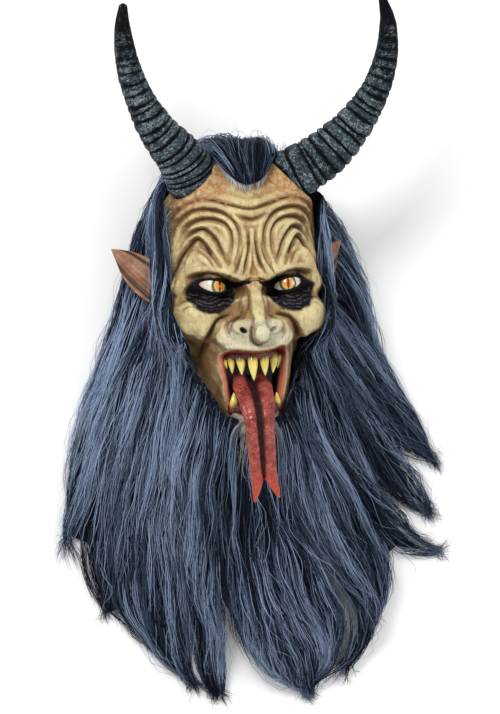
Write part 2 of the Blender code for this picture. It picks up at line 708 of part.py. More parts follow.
def head_clearance(cutters):
    """The head's plain form, a little larger, for the fur to lie on."""
    def place(s, t):
        start, way = rays(s, t)
        return start + way * reach(start, way, UNDER_FUR)[:, None]
    made = add_object("head_clearance", surface(40, 44, place), cutters)
    simplify(made, CLEARANCE_TRIANGLES)
    return made


def face_window(cutters):
    """The opening in the fur that the face looks out of."""
    outline = np.array(HAIRLINE, float)
    bm = bmesh.new()
    front = [bm.verts.new(to_frame((u, v, 260))) for u, v in outline]
    face = bm.faces.new(front)
    swept = bmesh.ops.extrude_face_region(bm, geom=[face])
    moved = [part for part in swept["geom"] if isinstance(part, bmesh.types.BMVert)]
    bmesh.ops.translate(bm, verts=moved, vec=(0, 0, -(260 - 16) * MM))
    return add_object("face_window", bm, cutters)


def passage(cutters):
    """The space under the beard that leads in to the neck."""
    count = 12
    path = curve_points(PASSAGE_AXIS, count)
    wide = along([size[0] for size in PASSAGE_HALF_SIZES], count)
    high = along([size[1] for size in PASSAGE_HALF_SIZES], count)
    return add_object("passage", tube(path, wide, high, np.array((1.0, 0.0, 0.0)), 10), cutters)


def clear_objects():
    for obj in list(bpy.data.objects):
        bpy.data.objects.remove(obj)


def main():
    clear_objects()
    parts = collection("krampus_mask")
    cutters = collection("cutters")
    hood_clearance, ears = latex_hood(parts, cutters)
    horns = []
    for name, side in (("horn_left", -1), ("horn_right", 1)):
        made = horn(name, side, parts)
        boolean(made, horn_seat_cut(side, cutters))
        horns.append(made)
    for name, side in (("eye_left", -1), ("eye_right", 1)):
        eye(name, side, hood_clearance, parts)
    jaw_of_teeth("upper_teeth", UPPER_FANGS, -83, 1, hood_clearance, parts, cutters)
    jaw_of_teeth("lower_teeth", LOWER_FANGS, -147, -1, hood_clearance, parts, cutters)
    tongue_piece = tongue(hood_clearance, parts, cutters)
    under_head = head_clearance(cutters)
    way_in = passage(cutters)
    window = face_window(cutters)
    floor = box_cutter("floor", (0, -60, FLOOR_W - 100), (900, 1100, 200), cutters)
    wig = locks_form("hair", WIG_LOCKS, parts, "fur", extra=scalp_cap())
    beard = locks_form("beard", BEARD_LOCKS, parts, "fur")
    beard_room = locks_form("beard_room", BEARD_LOCKS, cutters, grow=FUR_APART)
    simplify(beard_room, 2 * BEARD_TRIANGLES)
    beside = [clearance(made, cutters, FUR_GAP) for made in horns]
    for form in ears:
        round_ear = clearance(form, cutters, 2 * FUR_GAP)
        simplify(round_ear, EAR_CLEARANCE_TRIANGLES)
        beside.append(round_ear)
    chin = chin_window(cutters)
    trim_fur(wig, [under_head, window, chin, way_in, *beside, beard_room, floor], WIG_TRIANGLES)
    over_beard = clearance(tongue_piece, cutters, FUR_GAP)
    trim_fur(beard, [under_head, window, way_in, over_beard, floor], BEARD_TRIANGLES)


if __name__ == "__main__":
    main()
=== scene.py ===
"""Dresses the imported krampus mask: painted latex, ringed horns, glass eyes, fangs, a wet tongue and long fur.

Shapes are laid out in millimetres on the head: u to the viewer's right, v up the face and w out of the face,
from a point on the head's axis at the height of the eyes. The mask lies on its back, so w is upwards.
"""
import logging
from dataclasses import dataclass, field
from enum import Enum
from math import cos, pi, radians, sin

import bmesh
import bpy
import numpy as np
from mathutils import Matrix, Vector, noise
from mathutils.bvhtree import BVHTree
from mathutils.kdtree import KDTree


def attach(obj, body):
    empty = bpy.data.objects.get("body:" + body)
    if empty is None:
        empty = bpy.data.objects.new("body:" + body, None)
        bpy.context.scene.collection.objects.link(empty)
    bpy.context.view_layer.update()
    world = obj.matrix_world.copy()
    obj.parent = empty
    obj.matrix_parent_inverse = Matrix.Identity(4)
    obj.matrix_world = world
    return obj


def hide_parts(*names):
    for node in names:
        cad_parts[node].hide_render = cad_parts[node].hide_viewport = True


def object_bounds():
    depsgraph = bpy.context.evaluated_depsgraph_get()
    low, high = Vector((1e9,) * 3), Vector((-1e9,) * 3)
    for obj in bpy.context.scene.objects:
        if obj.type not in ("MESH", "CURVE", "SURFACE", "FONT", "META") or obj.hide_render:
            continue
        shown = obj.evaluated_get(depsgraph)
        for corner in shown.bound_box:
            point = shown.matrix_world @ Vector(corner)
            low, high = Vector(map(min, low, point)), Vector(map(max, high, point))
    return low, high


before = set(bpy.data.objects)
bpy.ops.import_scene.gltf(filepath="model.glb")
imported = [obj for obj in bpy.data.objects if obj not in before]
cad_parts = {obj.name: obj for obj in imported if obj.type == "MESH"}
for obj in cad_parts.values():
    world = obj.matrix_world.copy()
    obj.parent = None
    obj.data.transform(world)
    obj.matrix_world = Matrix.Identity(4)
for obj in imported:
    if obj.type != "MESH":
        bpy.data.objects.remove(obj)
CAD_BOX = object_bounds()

LOG = logging.getLogger("krampus_mask")
MM = 0.001
HEAD_ORIGIN = np.array((26.6, -77.6, -118.0))
FLOOR_W = -118.0
BODY = "root"
Array = np.ndarray
Colour = tuple[float, float, float]
Point = tuple[float, float, float]


def to_frame(points: Array) -> Array:
    """Places points of the head, in millimetres, in the part's frame, in metres."""
    return (np.asarray(points, float) - HEAD_ORIGIN) * MM


def to_head(points: Array) -> Array:
    """Reads points of the part's frame, in metres, on the head, in millimetres."""
    return np.asarray(points, float) / MM + HEAD_ORIGIN


def ease(start: float, end: float, value: Array) -> Array:
    """Eases from 0 at start to 1 at end.

    Args:
        start: The value at which the result leaves 0.
        end: The value at which the result reaches 1.
        value: The values to ease.

    Returns:
        One share for each value.
    """
    share = np.clip((value - start) / (end - start), 0, 1)
    return share * share * (3 - 2 * share)


def smooth_curve(points: Array, count: int) -> Array:
    """Points in turn on a smooth curve through the given points.

    Args:
        points: The points that the curve goes through.
        count: How many points to give back.

    Returns:
        The points on the curve.
    """
    known = np.array(points, float)
    known = np.vstack([2 * known[0] - known[1], known, 2 * known[-1] - known[-2]])
    t = np.linspace(0, len(known) - 3 - 1e-6, count)
    i = t.astype(int)
    f = (t - i)[:, None]
    a, b, c, d = known[i], known[i + 1], known[i + 2], known[i + 3]
    return 0.5 * (2 * b + (c - a) * f + (2 * a - 5 * b + 4 * c - d) * f**2 + (3 * b - a - 3 * c + d) * f**3)


def even_curve(points: Array, count: int) -> Array:
    """Points at even distances on a smooth curve through the given points."""
    fine = smooth_curve(points, 12 * len(points) + 20)
    far = np.concatenate([[0], np.cumsum(np.linalg.norm(np.diff(fine, axis=0), axis=1))])
    at = np.linspace(0, far[-1], count)
    return np.stack([np.interp(at, far, fine[:, axis]) for axis in range(fine.shape[1])], axis=1)


def along(values: tuple[float, ...], share: Array) -> Array:
    """Reads a row of values, evenly spaced from 0 to 1, at the given shares of the way."""
    return np.interp(share, np.linspace(0, 1, len(values)), values)


def unit(vectors: Array) -> Array:
    """The vectors at length 1."""
    return vectors / np.maximum(np.linalg.norm(vectors, axis=-1, keepdims=True), 1e-9)


def lumps(points: Array, size: float, octaves: int = 3, seed: float = 0.0) -> Array:
    """Soft noise in space, about -1 to 1.

    Args:
        points: Points in millimetres.
        size: The size of the largest lumps, in millimetres.
        octaves: How many finer layers are added.
        seed: Moves the pattern.

    Returns:
        One value for each point.
    """
    shifted = points / size + seed
    return np.array([noise.fractal(Vector(p), 0.9, 2.1, octaves) for p in shifted])


class Signal:
    """A shader socket that takes part in arithmetic."""

    def __init__(self, paint: "Paint", socket: bpy.types.NodeSocket) -> None:
        """Wraps an output socket of a paint's nodes."""
        self.paint = paint
        self.socket = socket

    def __add__(self, other: "Signal | float") -> "Signal":
        """The sum."""
        return self.paint.maths("ADD", self, other)

    def __radd__(self, other: float) -> "Signal":
        """The sum, with a number first."""
        return self.paint.maths("ADD", other, self)

    def __sub__(self, other: "Signal | float") -> "Signal":
        """The difference."""
        return self.paint.maths("SUBTRACT", self, other)

    def __rsub__(self, other: float) -> "Signal":
        """The difference from a number."""
        return self.paint.maths("SUBTRACT", other, self)

    def __mul__(self, other: "Signal | float") -> "Signal":
        """The product."""
        return self.paint.maths("MULTIPLY", self, other)

    def __rmul__(self, other: float) -> "Signal":
        """The product, with a number first."""
        return self.paint.maths("MULTIPLY", other, self)

    def __truediv__(self, other: "Signal | float") -> "Signal":
        """The quotient."""
        return self.paint.maths("DIVIDE", self, other)

    def __pow__(self, other: float) -> "Signal":
        """The power."""
        return self.paint.maths("POWER", self, other)

    def step(self, low: float, high: float) -> "Signal":
        """Eases from 0 at low to 1 at high, or back where high is the smaller."""
        made = self.paint.node(
            "ShaderNodeMapRange", {"interpolation_type": "SMOOTHSTEP"},
            {"Value": self, "From Min": low, "From Max": high},
        )
        return Signal(self.paint, made.outputs["Result"])


class Paint:
    """One finish: a material and the nodes that make its colours."""

    def __init__(self, name: str) -> None:
        """Starts an empty material with one Principled shader."""
        self.material = bpy.data.materials.new(name)
        self.material.use_nodes = True
        self.tree = self.material.node_tree
        self.shader = self.tree.nodes["Principled BSDF"]
        self.place = Signal(self, self.node("ShaderNodeTexCoord").outputs["Object"])

    def node(self, kind: str, settings: dict | None = None, values: dict | None = None) -> bpy.types.Node:
        """Adds a node.

        Args:
            kind: The node's type.
            settings: Properties that are set before the sockets.
            values: For each input, by name or number, a signal to link or a value to set.

        Returns:
            The new node.
        """
        made = self.tree.nodes.new(kind)
        for key, value in (settings or {}).items():
            setattr(made, key, value)
        for key, value in (values or {}).items():
            self.feed(made.inputs[key], value)
        return made

    def feed(self, socket: bpy.types.NodeSocket, value: "Signal | float | Colour") -> None:
        """Links a signal to a socket, or sets the socket's own value."""
        if isinstance(value, Signal):
            self.tree.links.new(value.socket, socket)
        elif socket.type == "RGBA":
            socket.default_value = (*value[:3], 1.0)
        else:
            socket.default_value = value

    def maths(self, operation: str, first: "Signal | float", second: "Signal | float" = 0.0) -> Signal:
        """One step of arithmetic between signals and numbers."""
        made = self.node("ShaderNodeMath", {"operation": operation}, {0: first, 1: second})
        return Signal(self, made.outputs[0])

    def attribute(self, name: str) -> Signal:
        """A number that the piece's mesh carries at each point."""
        return Signal(self, self.node("ShaderNodeAttribute", {"attribute_name": name}).outputs["Fac"])

    def axis(self, name: str) -> Signal:
        """One coordinate of the place, X, Y or Z, in metres."""
        made = self.node("ShaderNodeSeparateXYZ", values={"Vector": self.place})
        return Signal(self, made.outputs[name])

    def vector(self, x: "Signal | float", y: "Signal | float", z: "Signal | float") -> Signal:
        """A place made of three numbers."""
        return Signal(self, self.node("ShaderNodeCombineXYZ", None, {"X": x, "Y": y, "Z": z}).outputs["Vector"])

    def stretched(self, stretch: Point, turn: Point = (0.0, 0.0, 0.0)) -> Signal:
        """The place with each axis stretched, and turned by angles in radians."""
        made = self.node(
            "ShaderNodeMapping", values={"Vector": self.place, "Scale": stretch, "Rotation": turn}
        )
        return Signal(self, made.outputs["Vector"])

    def cloud(self, scale: float, detail: float = 3.0, rough: float = 0.55, place: Signal | None = None,
              warp: float = 0.0) -> Signal:
        """Soft noise, about 0.3 to 0.7, with a scale in cells per metre."""
        made = self.node(
            "ShaderNodeTexNoise", None,
            {"Vector": place or self.place, "Scale": scale, "Detail": detail, "Roughness": rough,
             "Distortion": warp},
        )
        return Signal(self, made.outputs["Fac"])

    def cells(self, scale: float, place: Signal | None = None, feature: str = "F1") -> Signal:
        """Distance to the nearest of scattered points, in cells."""
        made = self.node(
            "ShaderNodeTexVoronoi", {"feature": feature},
            {"Vector": place or self.place, "Scale": scale},
        )
        return Signal(self, made.outputs["Distance"])

    def mix(self, share: "Signal | float", first: "Signal | Colour", second: "Signal | Colour") -> Signal:
        """The first colour where the share is 0 and the second where it is 1."""
        made = self.node("ShaderNodeMix", {"data_type": "RGBA"}, {0: share, 6: first, 7: second})
        return Signal(self, made.outputs[2])

    def bump(self, height: Signal, distance: float, strength: float = 1.0) -> None:
        """Gives the surface fine relief of the given height in metres."""
        made = self.node(
            "ShaderNodeBump", None, {"Height": height, "Distance": distance, "Strength": strength}
        )
        self.tree.links.new(made.outputs["Normal"], self.shader.inputs["Normal"])

    def finish(self, **values: "Signal | float | Colour") -> bpy.types.Material:
        """Feeds the shader, each value by its socket's name with underscores, and gives the material."""
        for key, value in values.items():
            self.feed(self.shader.inputs[key.replace("_", " ").title().replace("Ior", "IOR")], value)
        return self.material


def bent_grid(rows: int, columns: int, place, merge: float = 0.01) -> bmesh.types.BMesh:
    """Bends a grid into a surface.

    Args:
        rows: Faces the first way.
        columns: Faces the second way.
        place: Takes the shares of the way, two arrays from 0 to 1, and gives points in millimetres.
        merge: Points closer than this many millimetres become one.

    Returns:
        The surface, with any open rim left open.
    """
    bm = bmesh.new()
    bmesh.ops.create_grid(bm, x_segments=rows, y_segments=columns, size=0.5)
    shares = np.array([vert.co[:2] for vert in bm.verts]) + 0.5
    for vert, point in zip(bm.verts, to_frame(place(shares[:, 0], shares[:, 1]))):
        vert.co = point
    bmesh.ops.remove_doubles(bm, verts=bm.verts, dist=merge * MM)
    return bm


def close_up(bm: bmesh.types.BMesh) -> bmesh.types.BMesh:
    """Fills every open rim and turns the faces outwards."""
    bmesh.ops.holes_fill(bm, edges=bm.edges, sides=0)
    bm.normal_update()
    bmesh.ops.recalc_face_normals(bm, faces=bm.faces)
    return bm


def swept(path: Array, widths: Array, heights: Array, across: Point, sides: int, shape=None) -> bmesh.types.BMesh:
    """A closed bar of oval section along a path.

    Args:
        path: Points along the middle.
        widths: Half sizes across, one for each point.
        heights: Half sizes at right angles to that.
        across: The direction that counts as across.
        sides: Faces round the bar.
        shape: Takes the share along, the angle round and two arrays of half sizes, and gives them changed.

    Returns:
        The closed bar.
    """
    rows = len(path)
    tangents = unit(np.gradient(path, axis=0))
    side = np.array(across, float)
    wide = unit(side - tangents * (tangents @ side)[:, None])
    high = np.cross(tangents, wide)

    def place(s: Array, t: Array) -> Array:
        row = np.rint(s * (rows - 1)).astype(int)
        angle = 2 * pi * t
        half, rise = widths[row], heights[row]
        if shape:
            half, rise = shape(s, angle, half, rise)
        return path[row] + wide[row] * (np.cos(angle) * half)[:, None] + high[row] * (np.sin(angle) * rise)[:, None]

    return close_up(bent_grid(rows - 1, sides, place))


def merge_into(bm: bmesh.types.BMesh, other: bmesh.types.BMesh) -> None:
    """Adds one mesh under construction to another."""
    mesh = mesh_from(other, "merged")
    bm.from_mesh(mesh)
    bpy.data.meshes.remove(mesh)


def mesh_from(bm: bmesh.types.BMesh, name: str) -> bpy.types.Mesh:
    """The finished mesh of one under construction."""
    mesh = bpy.data.meshes.new(name)
    bm.to_mesh(mesh)
    bm.free()
    return mesh


def nearest_of(places: Array) -> KDTree:
    """A tree that finds the nearest of some places."""
    tree = KDTree(len(places))
    for index, place in enumerate(places):
        tree.insert(Vector(place), index)
    tree.balance()
    return tree


def coordinates(mesh: bpy.types.Mesh) -> Array:
    """The mesh's points on the head, in millimetres."""
    found = np.zeros(len(mesh.vertices) * 3)
    mesh.vertices.foreach_get("co", found)
    return to_head(found.reshape(-1, 3))


def carry(mesh: bpy.types.Mesh, **values: Array) -> None:
    """Gives each point of the mesh a number for each name."""
    for name, numbers in values.items():
        layer = mesh.attributes.new(name, "FLOAT", "POINT")
        layer.data.foreach_set("value", np.asarray(numbers, np.float32))


def add_piece(name: str, mesh: bpy.types.Mesh, material: bpy.types.Material, slot: str,
              *nodes: str) -> None:
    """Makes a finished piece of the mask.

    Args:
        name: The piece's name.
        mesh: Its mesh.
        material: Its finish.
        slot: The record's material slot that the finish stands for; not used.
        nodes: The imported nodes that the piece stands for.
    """
    mesh.polygons.foreach_set("use_smooth", [True] * len(mesh.polygons))
    mesh.materials.clear()
    mesh.materials.append(material)
    made = bpy.data.objects.new(name, mesh)
    bpy.context.scene.collection.objects.link(made)
    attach(made, BODY)
    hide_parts(*nodes)
    LOG.info("%s: %d triangles", name, sum(len(face.vertices) - 2 for face in mesh.polygons))


def apply_modifiers(obj: bpy.types.Object) -> bpy.types.Mesh:
    """What an object's modifiers make of its mesh, as a mesh of its own."""
    bpy.context.view_layer.update()
    evaluated = obj.evaluated_get(bpy.context.evaluated_depsgraph_get())
    return bpy.data.meshes.new_from_object(evaluated)


def ellipsoid(points: Array, centre: Point, radii: Point) -> Array:
    """Distance from an ellipsoid, negative inside."""
    scaled = (points - np.array(centre, float)) / np.array(radii, float)
    near = np.linalg.norm(scaled, axis=1)
    steep = np.linalg.norm(scaled / np.array(radii, float), axis=1)
    return near * (near - 1) / np.maximum(steep, 1e-9)


def bar(points: Array, start: Point, end: Point, start_radius: float, end_radius: float) -> Array:
    """Distance from a rounded bar, negative inside."""
    first, last = np.array(start, float), np.array(end, float)
    axis = last - first
    share = np.clip(((points - first) @ axis) / (axis @ axis), 0, 1)
    radius = start_radius + (end_radius - start_radius) * share
    return np.linalg.norm(points - first - share[:, None] * axis, axis=1) - radius


def join(first: Array, second: Array, blend: float) -> Array:
    """Joins two forms, given as distances, with a soft transition."""
    if not blend:
        return np.minimum(first, second)
    share = np.clip(0.5 + 0.5 * (second - first) / blend, 0, 1)
    return second * (1 - share) + first * share - blend * share * (1 - share)


def carve(form: Array, tool: Array, blend: float) -> Array:
    """Cuts a tool out of a form, both given as distances."""
    return -join(-form, tool, blend)


class Form(Enum):
    """The kinds of mass that the head is modelled from."""

    BALL = "ball"
    BAR = "bar"
    HOLLOW = "hollow"


@dataclass(frozen=True)
class Mass:
    """One mass or hollow of the head: its kind, its measures and how softly it blends in."""

    form: Form
    measures: tuple
    blend: float


@dataclass(frozen=True)
class Crease:
    """A crease of the skin, seen from in front: its line, depth and width, and whether it is mirrored."""

    line: tuple
    depth: float
    width: float
    both: bool = True


HORN_AXIS = (
    (58, 128, 42), (88, 154, 52), (119, 187, 62), (142, 224, 74), (156, 264, 86), (160, 304, 95), (156, 335, 100),
)
HORN_LEAN = (0, 14, 17, 18, 17, 15, 12)
HORN_DIAMETERS = (62, 56, 44, 34, 28, 20, 9)
HORN_SEAT = np.array((0.70, 0.68, 0.22)) / np.linalg.norm((0.70, 0.68, 0.22))
EYE_CENTRE = np.array((45.0, 0.0, 61.0))
EYE_RADIUS = 18.0
CORNER_RISE = 3.4


@dataclass
class Head:
    """The modelled form of the head, which the latex, the fur and the teeth are all fitted to."""

    masses: tuple[Mass, ...] = (
        Mass(Form.BALL, ((0, 70, -8), (86, 98, 98)), 0),
        Mass(Form.BALL, ((0, -6, 2), (80, 104, 82)), 25),
        Mass(Form.BALL, ((0, -92, 34), (50, 80, 52)), 18),
        Mass(Form.BALL, ((60, -36, 44), (36, 27, 38)), 14),
        Mass(Form.BALL, ((60, -42, 62), (24, 19, 19)), 12),
        Mass(Form.BALL, ((0, -64, 77), (44, 21, 24)), 12),
        Mass(Form.BAR, ((0, -60, -24), (0, -225, -24), 64, 62), 25),
        Mass(Form.BAR, ((67, 92, 14), (68, 0, 24), 22, 22), 22),
        Mass(Form.BAR, ((0, -165, 62), (9, -163, 62), 19, 19), 16),
        Mass(Form.HOLLOW, ((78, -100, 64), (17, 34, 26)), 16),
        Mass(Form.BAR, ((63, 27, 62), (16, 12, 86), 12.5, 11), 12),
        Mass(Form.BAR, ((66, 26, 62), (82, 2, 48), 12, 10), 12),
        Mass(Form.HOLLOW, ((50, -5, 92), (29, 21, 24)), 8),
        Mass(Form.BALL, ((51, -20, 68), (21, 9, 10)), 7),
        Mass(Form.BAR, ((0, -4, 80), (0, -48, 92), 12, 17), 10),
        Mass(Form.BALL, ((19, -50, 94), (11, 10, 12)), 7),
        Mass(Form.BAR, ((0, 0, 89), (0, -50, 114), 7, 8), 5),
        Mass(Form.BALL, ((0, -59, 121), (10.5, 12, 12)), 6),
        Mass(Form.BAR, ((46, 100, 38), (58, 125, 42), 35, 33), 18),
    )

    def distance(self, points: Array) -> Array:
        """Distance from the head's surface, negative inside."""
        p = np.array(points, float)
        p[:, 0] = np.abs(p[:, 0])
        form = np.full(len(p), 1e6)
        for mass in self.masses:
            if mass.form is Form.BAR:
                form = join(form, bar(p, *mass.measures), mass.blend)
            elif mass.form is Form.BALL:
                form = join(form, ellipsoid(p, *mass.measures), mass.blend)
            else:
                form = carve(form, ellipsoid(p, *mass.measures), mass.blend)
        return carve(form, -((p - np.array(HORN_AXIS[0])) @ HORN_SEAT), 4)

    def slope(self, points: Array, step: float = 1.0) -> Array:
        """The directions straight out of the head at points of its surface."""
        sides = [self.distance(points + step * a) - self.distance(points - step * a) for a in np.eye(3)]
        return unit(np.stack(sides, axis=1))

    def rays(self, s: Array, t: Array) -> tuple[Array, Array]:
        """Rays from inside the head out to its skin.

        Args:
            s: Shares of the way from the crown to the neck.
            t: Shares of the way round, with the face at 0.5.

        Returns:
            The rays' starts and directions.
        """
        turn = 2 * t - 1
        angle = pi * (0.42 * turn + 0.58 * turn**3)
        knots = (0, 0.16, 0.86, 1)
        rise = np.radians(np.interp(s, knots, (90, 22, -14, -62)))
        start_v = np.interp(s, knots, (62, 62, -128, -128))
        start = np.stack([0 * s, start_v, np.interp(s, knots, (-6, 0, 10, 0))], axis=1)
        way = np.stack([np.sin(angle) * np.cos(rise), np.sin(rise), np.cos(angle) * np.cos(rise)], axis=1)
        return start, way

    def reach(self, start: Array, way: Array, offset: float = 0.0) -> Array:
        """How far each ray goes until it meets the skin, or a surface at an offset from it."""
        far = np.full(len(start), 185.0)
        for _ in range(56):
            far = np.maximum(far - 0.8 * (self.distance(start + way * far[:, None]) - offset), 5)
        return far

    def skin_over(self, u: Array, v: Array) -> Array:
        """The skin's height over places seen from in front, or 0 where there is none."""
        w = np.full(len(u), 170.0)
        for _ in range(60):
            w = w - 0.7 * self.distance(np.stack([u, v, w], axis=1))
        return np.where(w > -60, w, 0)


HEAD = Head()


def corner_rise(u: Array) -> Array:
    """How far the upper lip and its gum rise towards the mouth's right corner."""
    return CORNER_RISE * ease(8, 36, u)


@dataclass
class LatexHood:
    """The hollow latex head with its sculpted face."""

    rows: int = 300
    columns: int = 256
    inner_rows: int = 66
    inner_columns: int = 56
    wall: float = 4.5
    neck_v: float = -205.0
    mouth_top: float = -79.0
    mouth_bottom: float = -152.0
    mouth_half_width: tuple[float, float] = (41.0, 29.0)
    mouth_corner: float = 13.0
    lip_bow: float = 1.4
    lip_slope: float = 6.0
    mouth_floor_w: float = 46.0
    lip_height: float = 4.0
    eye_opening: tuple[float, float] = (17.5, 6.9)
    eye_slant: float = 13.0
    lid_height: float = 2.0
    nostril_depth: float = 7.0
    crease_depth: float = 0.98
    creases: tuple[Crease, ...] = (
        Crease(((-88, 71), (-82, 89), (-66, 100), (-46, 102), (-24, 96), (0, 90), (24, 96), (46, 102), (66, 100),
                (82, 89), (88, 71)), 3.4, 2.6, False),
        Crease(((-20, 84), (-9, 79), (0, 77), (9, 79), (20, 84)), 3.0, 2.4, False),
        Crease(((87, 50), (83, 72), (70, 87), (54, 91), (35, 87), (22, 77), (15, 60), (17, 38), (23, 22)), 3.4, 2.5),
        Crease(((81, 52), (72, 70), (60, 78), (45, 79), (31, 73), (24, 61), (24, 45), (28, 32)), 3.6, 2.5),
        Crease(((80, 42), (72, 58), (60, 67), (52, 66), (42, 55), (36, 42), (28, 24)), 4.0, 2.6),
        Crease(((95, -18), (88, 12), (79, 34), (68, 50), (60, 56), (53, 48), (46, 35), (38, 20)), 4.4, 2.8),
        Crease(((60, 42), (52, 34), (46, 22)), 2.6, 2.0),
        Crease(((5, 68), (4, 50), (8, 28), (15, 8)), 3.4, 2.3),
        Crease(((10, 50), (13, 36), (21, 20), (30, 8)), 3.0, 2.2),
        Crease(((0, 48), (0, 32), (0, 18)), 2.0, 1.8, False),
        Crease(((93, 66), (91, 30), (94, 0)), 2.4, 2.4),
        Crease(((-17, 1), (-8, 5), (0, 6), (8, 5), (17, 1)), 3.2, 1.8, False),
        Crease(((9, -8), (11, -25), (18, -40)), 2.2, 2.0),
        Crease(((24, -34), (42, -40), (52, -56), (58, -76), (59, -95), (54, -116)), 6.5, 4.0),
        Crease(((94, -46), (82, -61), (68, -68), (59, -68)), 4.0, 2.6),
        Crease(((88, -58), (80, -80), (67, -104), (56, -124)), 3.6, 2.6),
        Crease(((66, -76), (63, -94), (57, -114), (47, -134)), 2.6, 2.0),
        Crease(((30, 116), (48, 107), (66, 102)), 1.6, 1.6),
        Crease(((26, 124), (38, 116), (50, 112)), 1.4, 1.5),
        Crease(((14, -38), (25, -40), (33, -48), (33, -60), (28, -66)), 1.8, 1.8),
        Crease(((12, 2), (21, 3), (30, 6), (44, 13), (60, 15), (76, 10)), 3.0, 2.4),
        Crease(((64, -18), (72, -14), (82, -16)), 1.2, 1.4),
        Crease(((66, -24), (76, -22), (86, -26)), 1.0, 1.4),
    )

    def crease_relief(self, u: Array, v: Array) -> tuple[Array, Array, Array]:
        """The creases' relief.

        Args:
            u: Places across the face.
            v: Places up the face.

        Returns:
            The height at each place, how deep in a crease it is, and how near one it is, both from 0 to 1.
        """
        relief, inside, around = np.zeros_like(u), np.zeros_like(u), np.zeros_like(u)
        for crease in self.creases:
            for side in (1, -1) if crease.both else (1,):
                line = smooth_curve(crease.line, 40) * (side, 1)
                low, high = line.min(0) - 4 * crease.width, line.max(0) + 4 * crease.width
                near = np.where((u > low[0]) & (u < high[0]) & (v > low[1]) & (v < high[1]))[0]
                spot = np.stack([u[near], v[near]], axis=1)
                best, part = np.full(len(near), 1e9), np.zeros(len(near))
                for k, (a, b) in enumerate(zip(line[:-1], line[1:])):
                    t = np.clip(((spot - a) @ (b - a)) / ((b - a) @ (b - a)), 0, 1)
                    far = np.linalg.norm(spot - a - t[:, None] * (b - a), axis=1)
                    closer = far < best
                    best[closer], part[closer] = far[closer], (k + t[closer]) / (len(line) - 1)
                fade = np.sqrt(np.clip(np.sin(pi * part), 0, 1))
                cut = np.exp(-np.abs(best / (0.60 * crease.width)) ** 1.4) * fade
                fold = np.exp(-(((best - 2.3 * crease.width) / (1.35 * crease.width)) ** 2)) * fade
                relief[near] += self.crease_depth * crease.depth * (0.56 * fold - cut)
                line_share = np.exp(-((best / (0.36 * crease.width)) ** 2)) * fade * min(1, crease.depth / 3.4)
                inside[near] = np.maximum(inside[near], line_share)
                wide = np.exp(-((best / (1.25 * crease.width)) ** 2)) * fade * min(1, crease.depth / 3.2)
                around[near] = np.maximum(around[near], wide)
        return relief, inside, around

    def mouth_edge(self, u: Array, v: Array) -> Array:
        """Distance from the mouth's outline seen from in front, negative inside."""
        bow = self.lip_bow * (1.8 * np.minimum(np.abs(u) / 24, 1) ** 2 - 1)
        v = v - (bow + corner_rise(u)) * ease(-112, self.mouth_top, v)
        half = np.interp(v, (self.mouth_bottom, self.mouth_top), self.mouth_half_width[::-1])
        across = np.abs(u) - half + self.mouth_corner
        middle, tall = (self.mouth_top + self.mouth_bottom) / 2, (self.mouth_top - self.mouth_bottom) / 2
        up = np.abs(v - middle) - tall + self.mouth_corner
        outside = np.hypot(np.maximum(across, 0), np.maximum(up, 0))
        return outside + np.minimum(np.maximum(across, up), 0) - self.mouth_corner

    def beside_mouth(self, u: Array, v: Array) -> Array:
        """How far each place lies beside the mouth instead of above or below it, from 0 to 1."""
        return ease(20, 30, np.abs(u)) * ease(-80, -90, v)

    def eye_edge(self, u: Array, v: Array) -> Array:
        """Distance from the outline of the eye's opening, negative inside."""
        x, y = np.abs(u) - EYE_CENTRE[0], v - EYE_CENTRE[1]
        slant = radians(self.eye_slant)
        x, y = x * cos(slant) + y * sin(slant), y * cos(slant) - x * sin(slant)
        return (np.hypot(x / self.eye_opening[0], y / self.eye_opening[1]) - 1) * self.eye_opening[1]

    def socket_share(self, u: Array, v: Array) -> Array:
        """How far inside the dark socket round an eye each place is, from 0 to 1, a band from the inner corner to the
        nose root included, which is painted shade.
        """
        x, y = (np.abs(u) - 49) / 31.0, (v + 6) / np.where(v > -6, 19.0, 28.0)
        # Painted shade: a dark band from the eye's inner corner across to the nose root, where the brow's shadow
        # falls.
        inner = ease(1.25, 0.75, np.hypot((np.abs(u) - 19) / 15.0, (v - 1 + 0.10 * (np.abs(u) - 20)) / 3.4))
        return np.maximum(ease(1.10, 0.80, np.hypot(x, y)), inner)

    def nostril_share(self, u: Array, v: Array) -> Array:
        """How far inside a nostril each place is, from 0 to 1."""
        x, y = (np.abs(u) - 18.0) / 4.6, (v + 53.5 - 0.4 * (np.abs(u) - 18.0)) / 3.4
        return ease(1.2, 0.45, np.hypot(x, y)) * np.where(u < 0, 1.0, 0.45)

    def fine_relief(self, u: Array, v: Array) -> tuple[Array, Array]:
        """The small wrinkles round the eyes and over the mouth.

        Args:
            u: Places across the face.
            v: Places up the face.

        Returns:
            Their height, and the tops of those round the eyes, from 0 to 1.
        """
        low = np.hypot((np.abs(u) - 47) / 1.5, (v - 8) / 1.0)
        uneven = lumps(np.stack([u, v, 0 * u], axis=1), 11, 2, 6.0)
        rings = np.sin(low * 2 * pi / 4.3 + 0.9 * np.sin(np.abs(u) * 0.21) + 6.2 * uneven) * self.socket_share(u, v)
        patchy = lumps(np.stack([u, v, 0 * u], axis=1), 8, 2, 12.0)
        rings *= ease(2, -6, v) * ease(3, 7, self.eye_edge(u, v)) * (0.6 + 0.4 * ease(-0.3, 0.4, patchy))
        lip = self.mouth_edge(u, v)
        over = ease(24, 10, lip) * ease(2, 6, lip) * ease(-84, -74, v)
        lines = np.sin(u * 2 * pi / 4.1 + 1.3 * np.sin(v * 0.17)) * over
        return 0.75 * rings + 0.3 * lines, np.maximum(rings, 0)

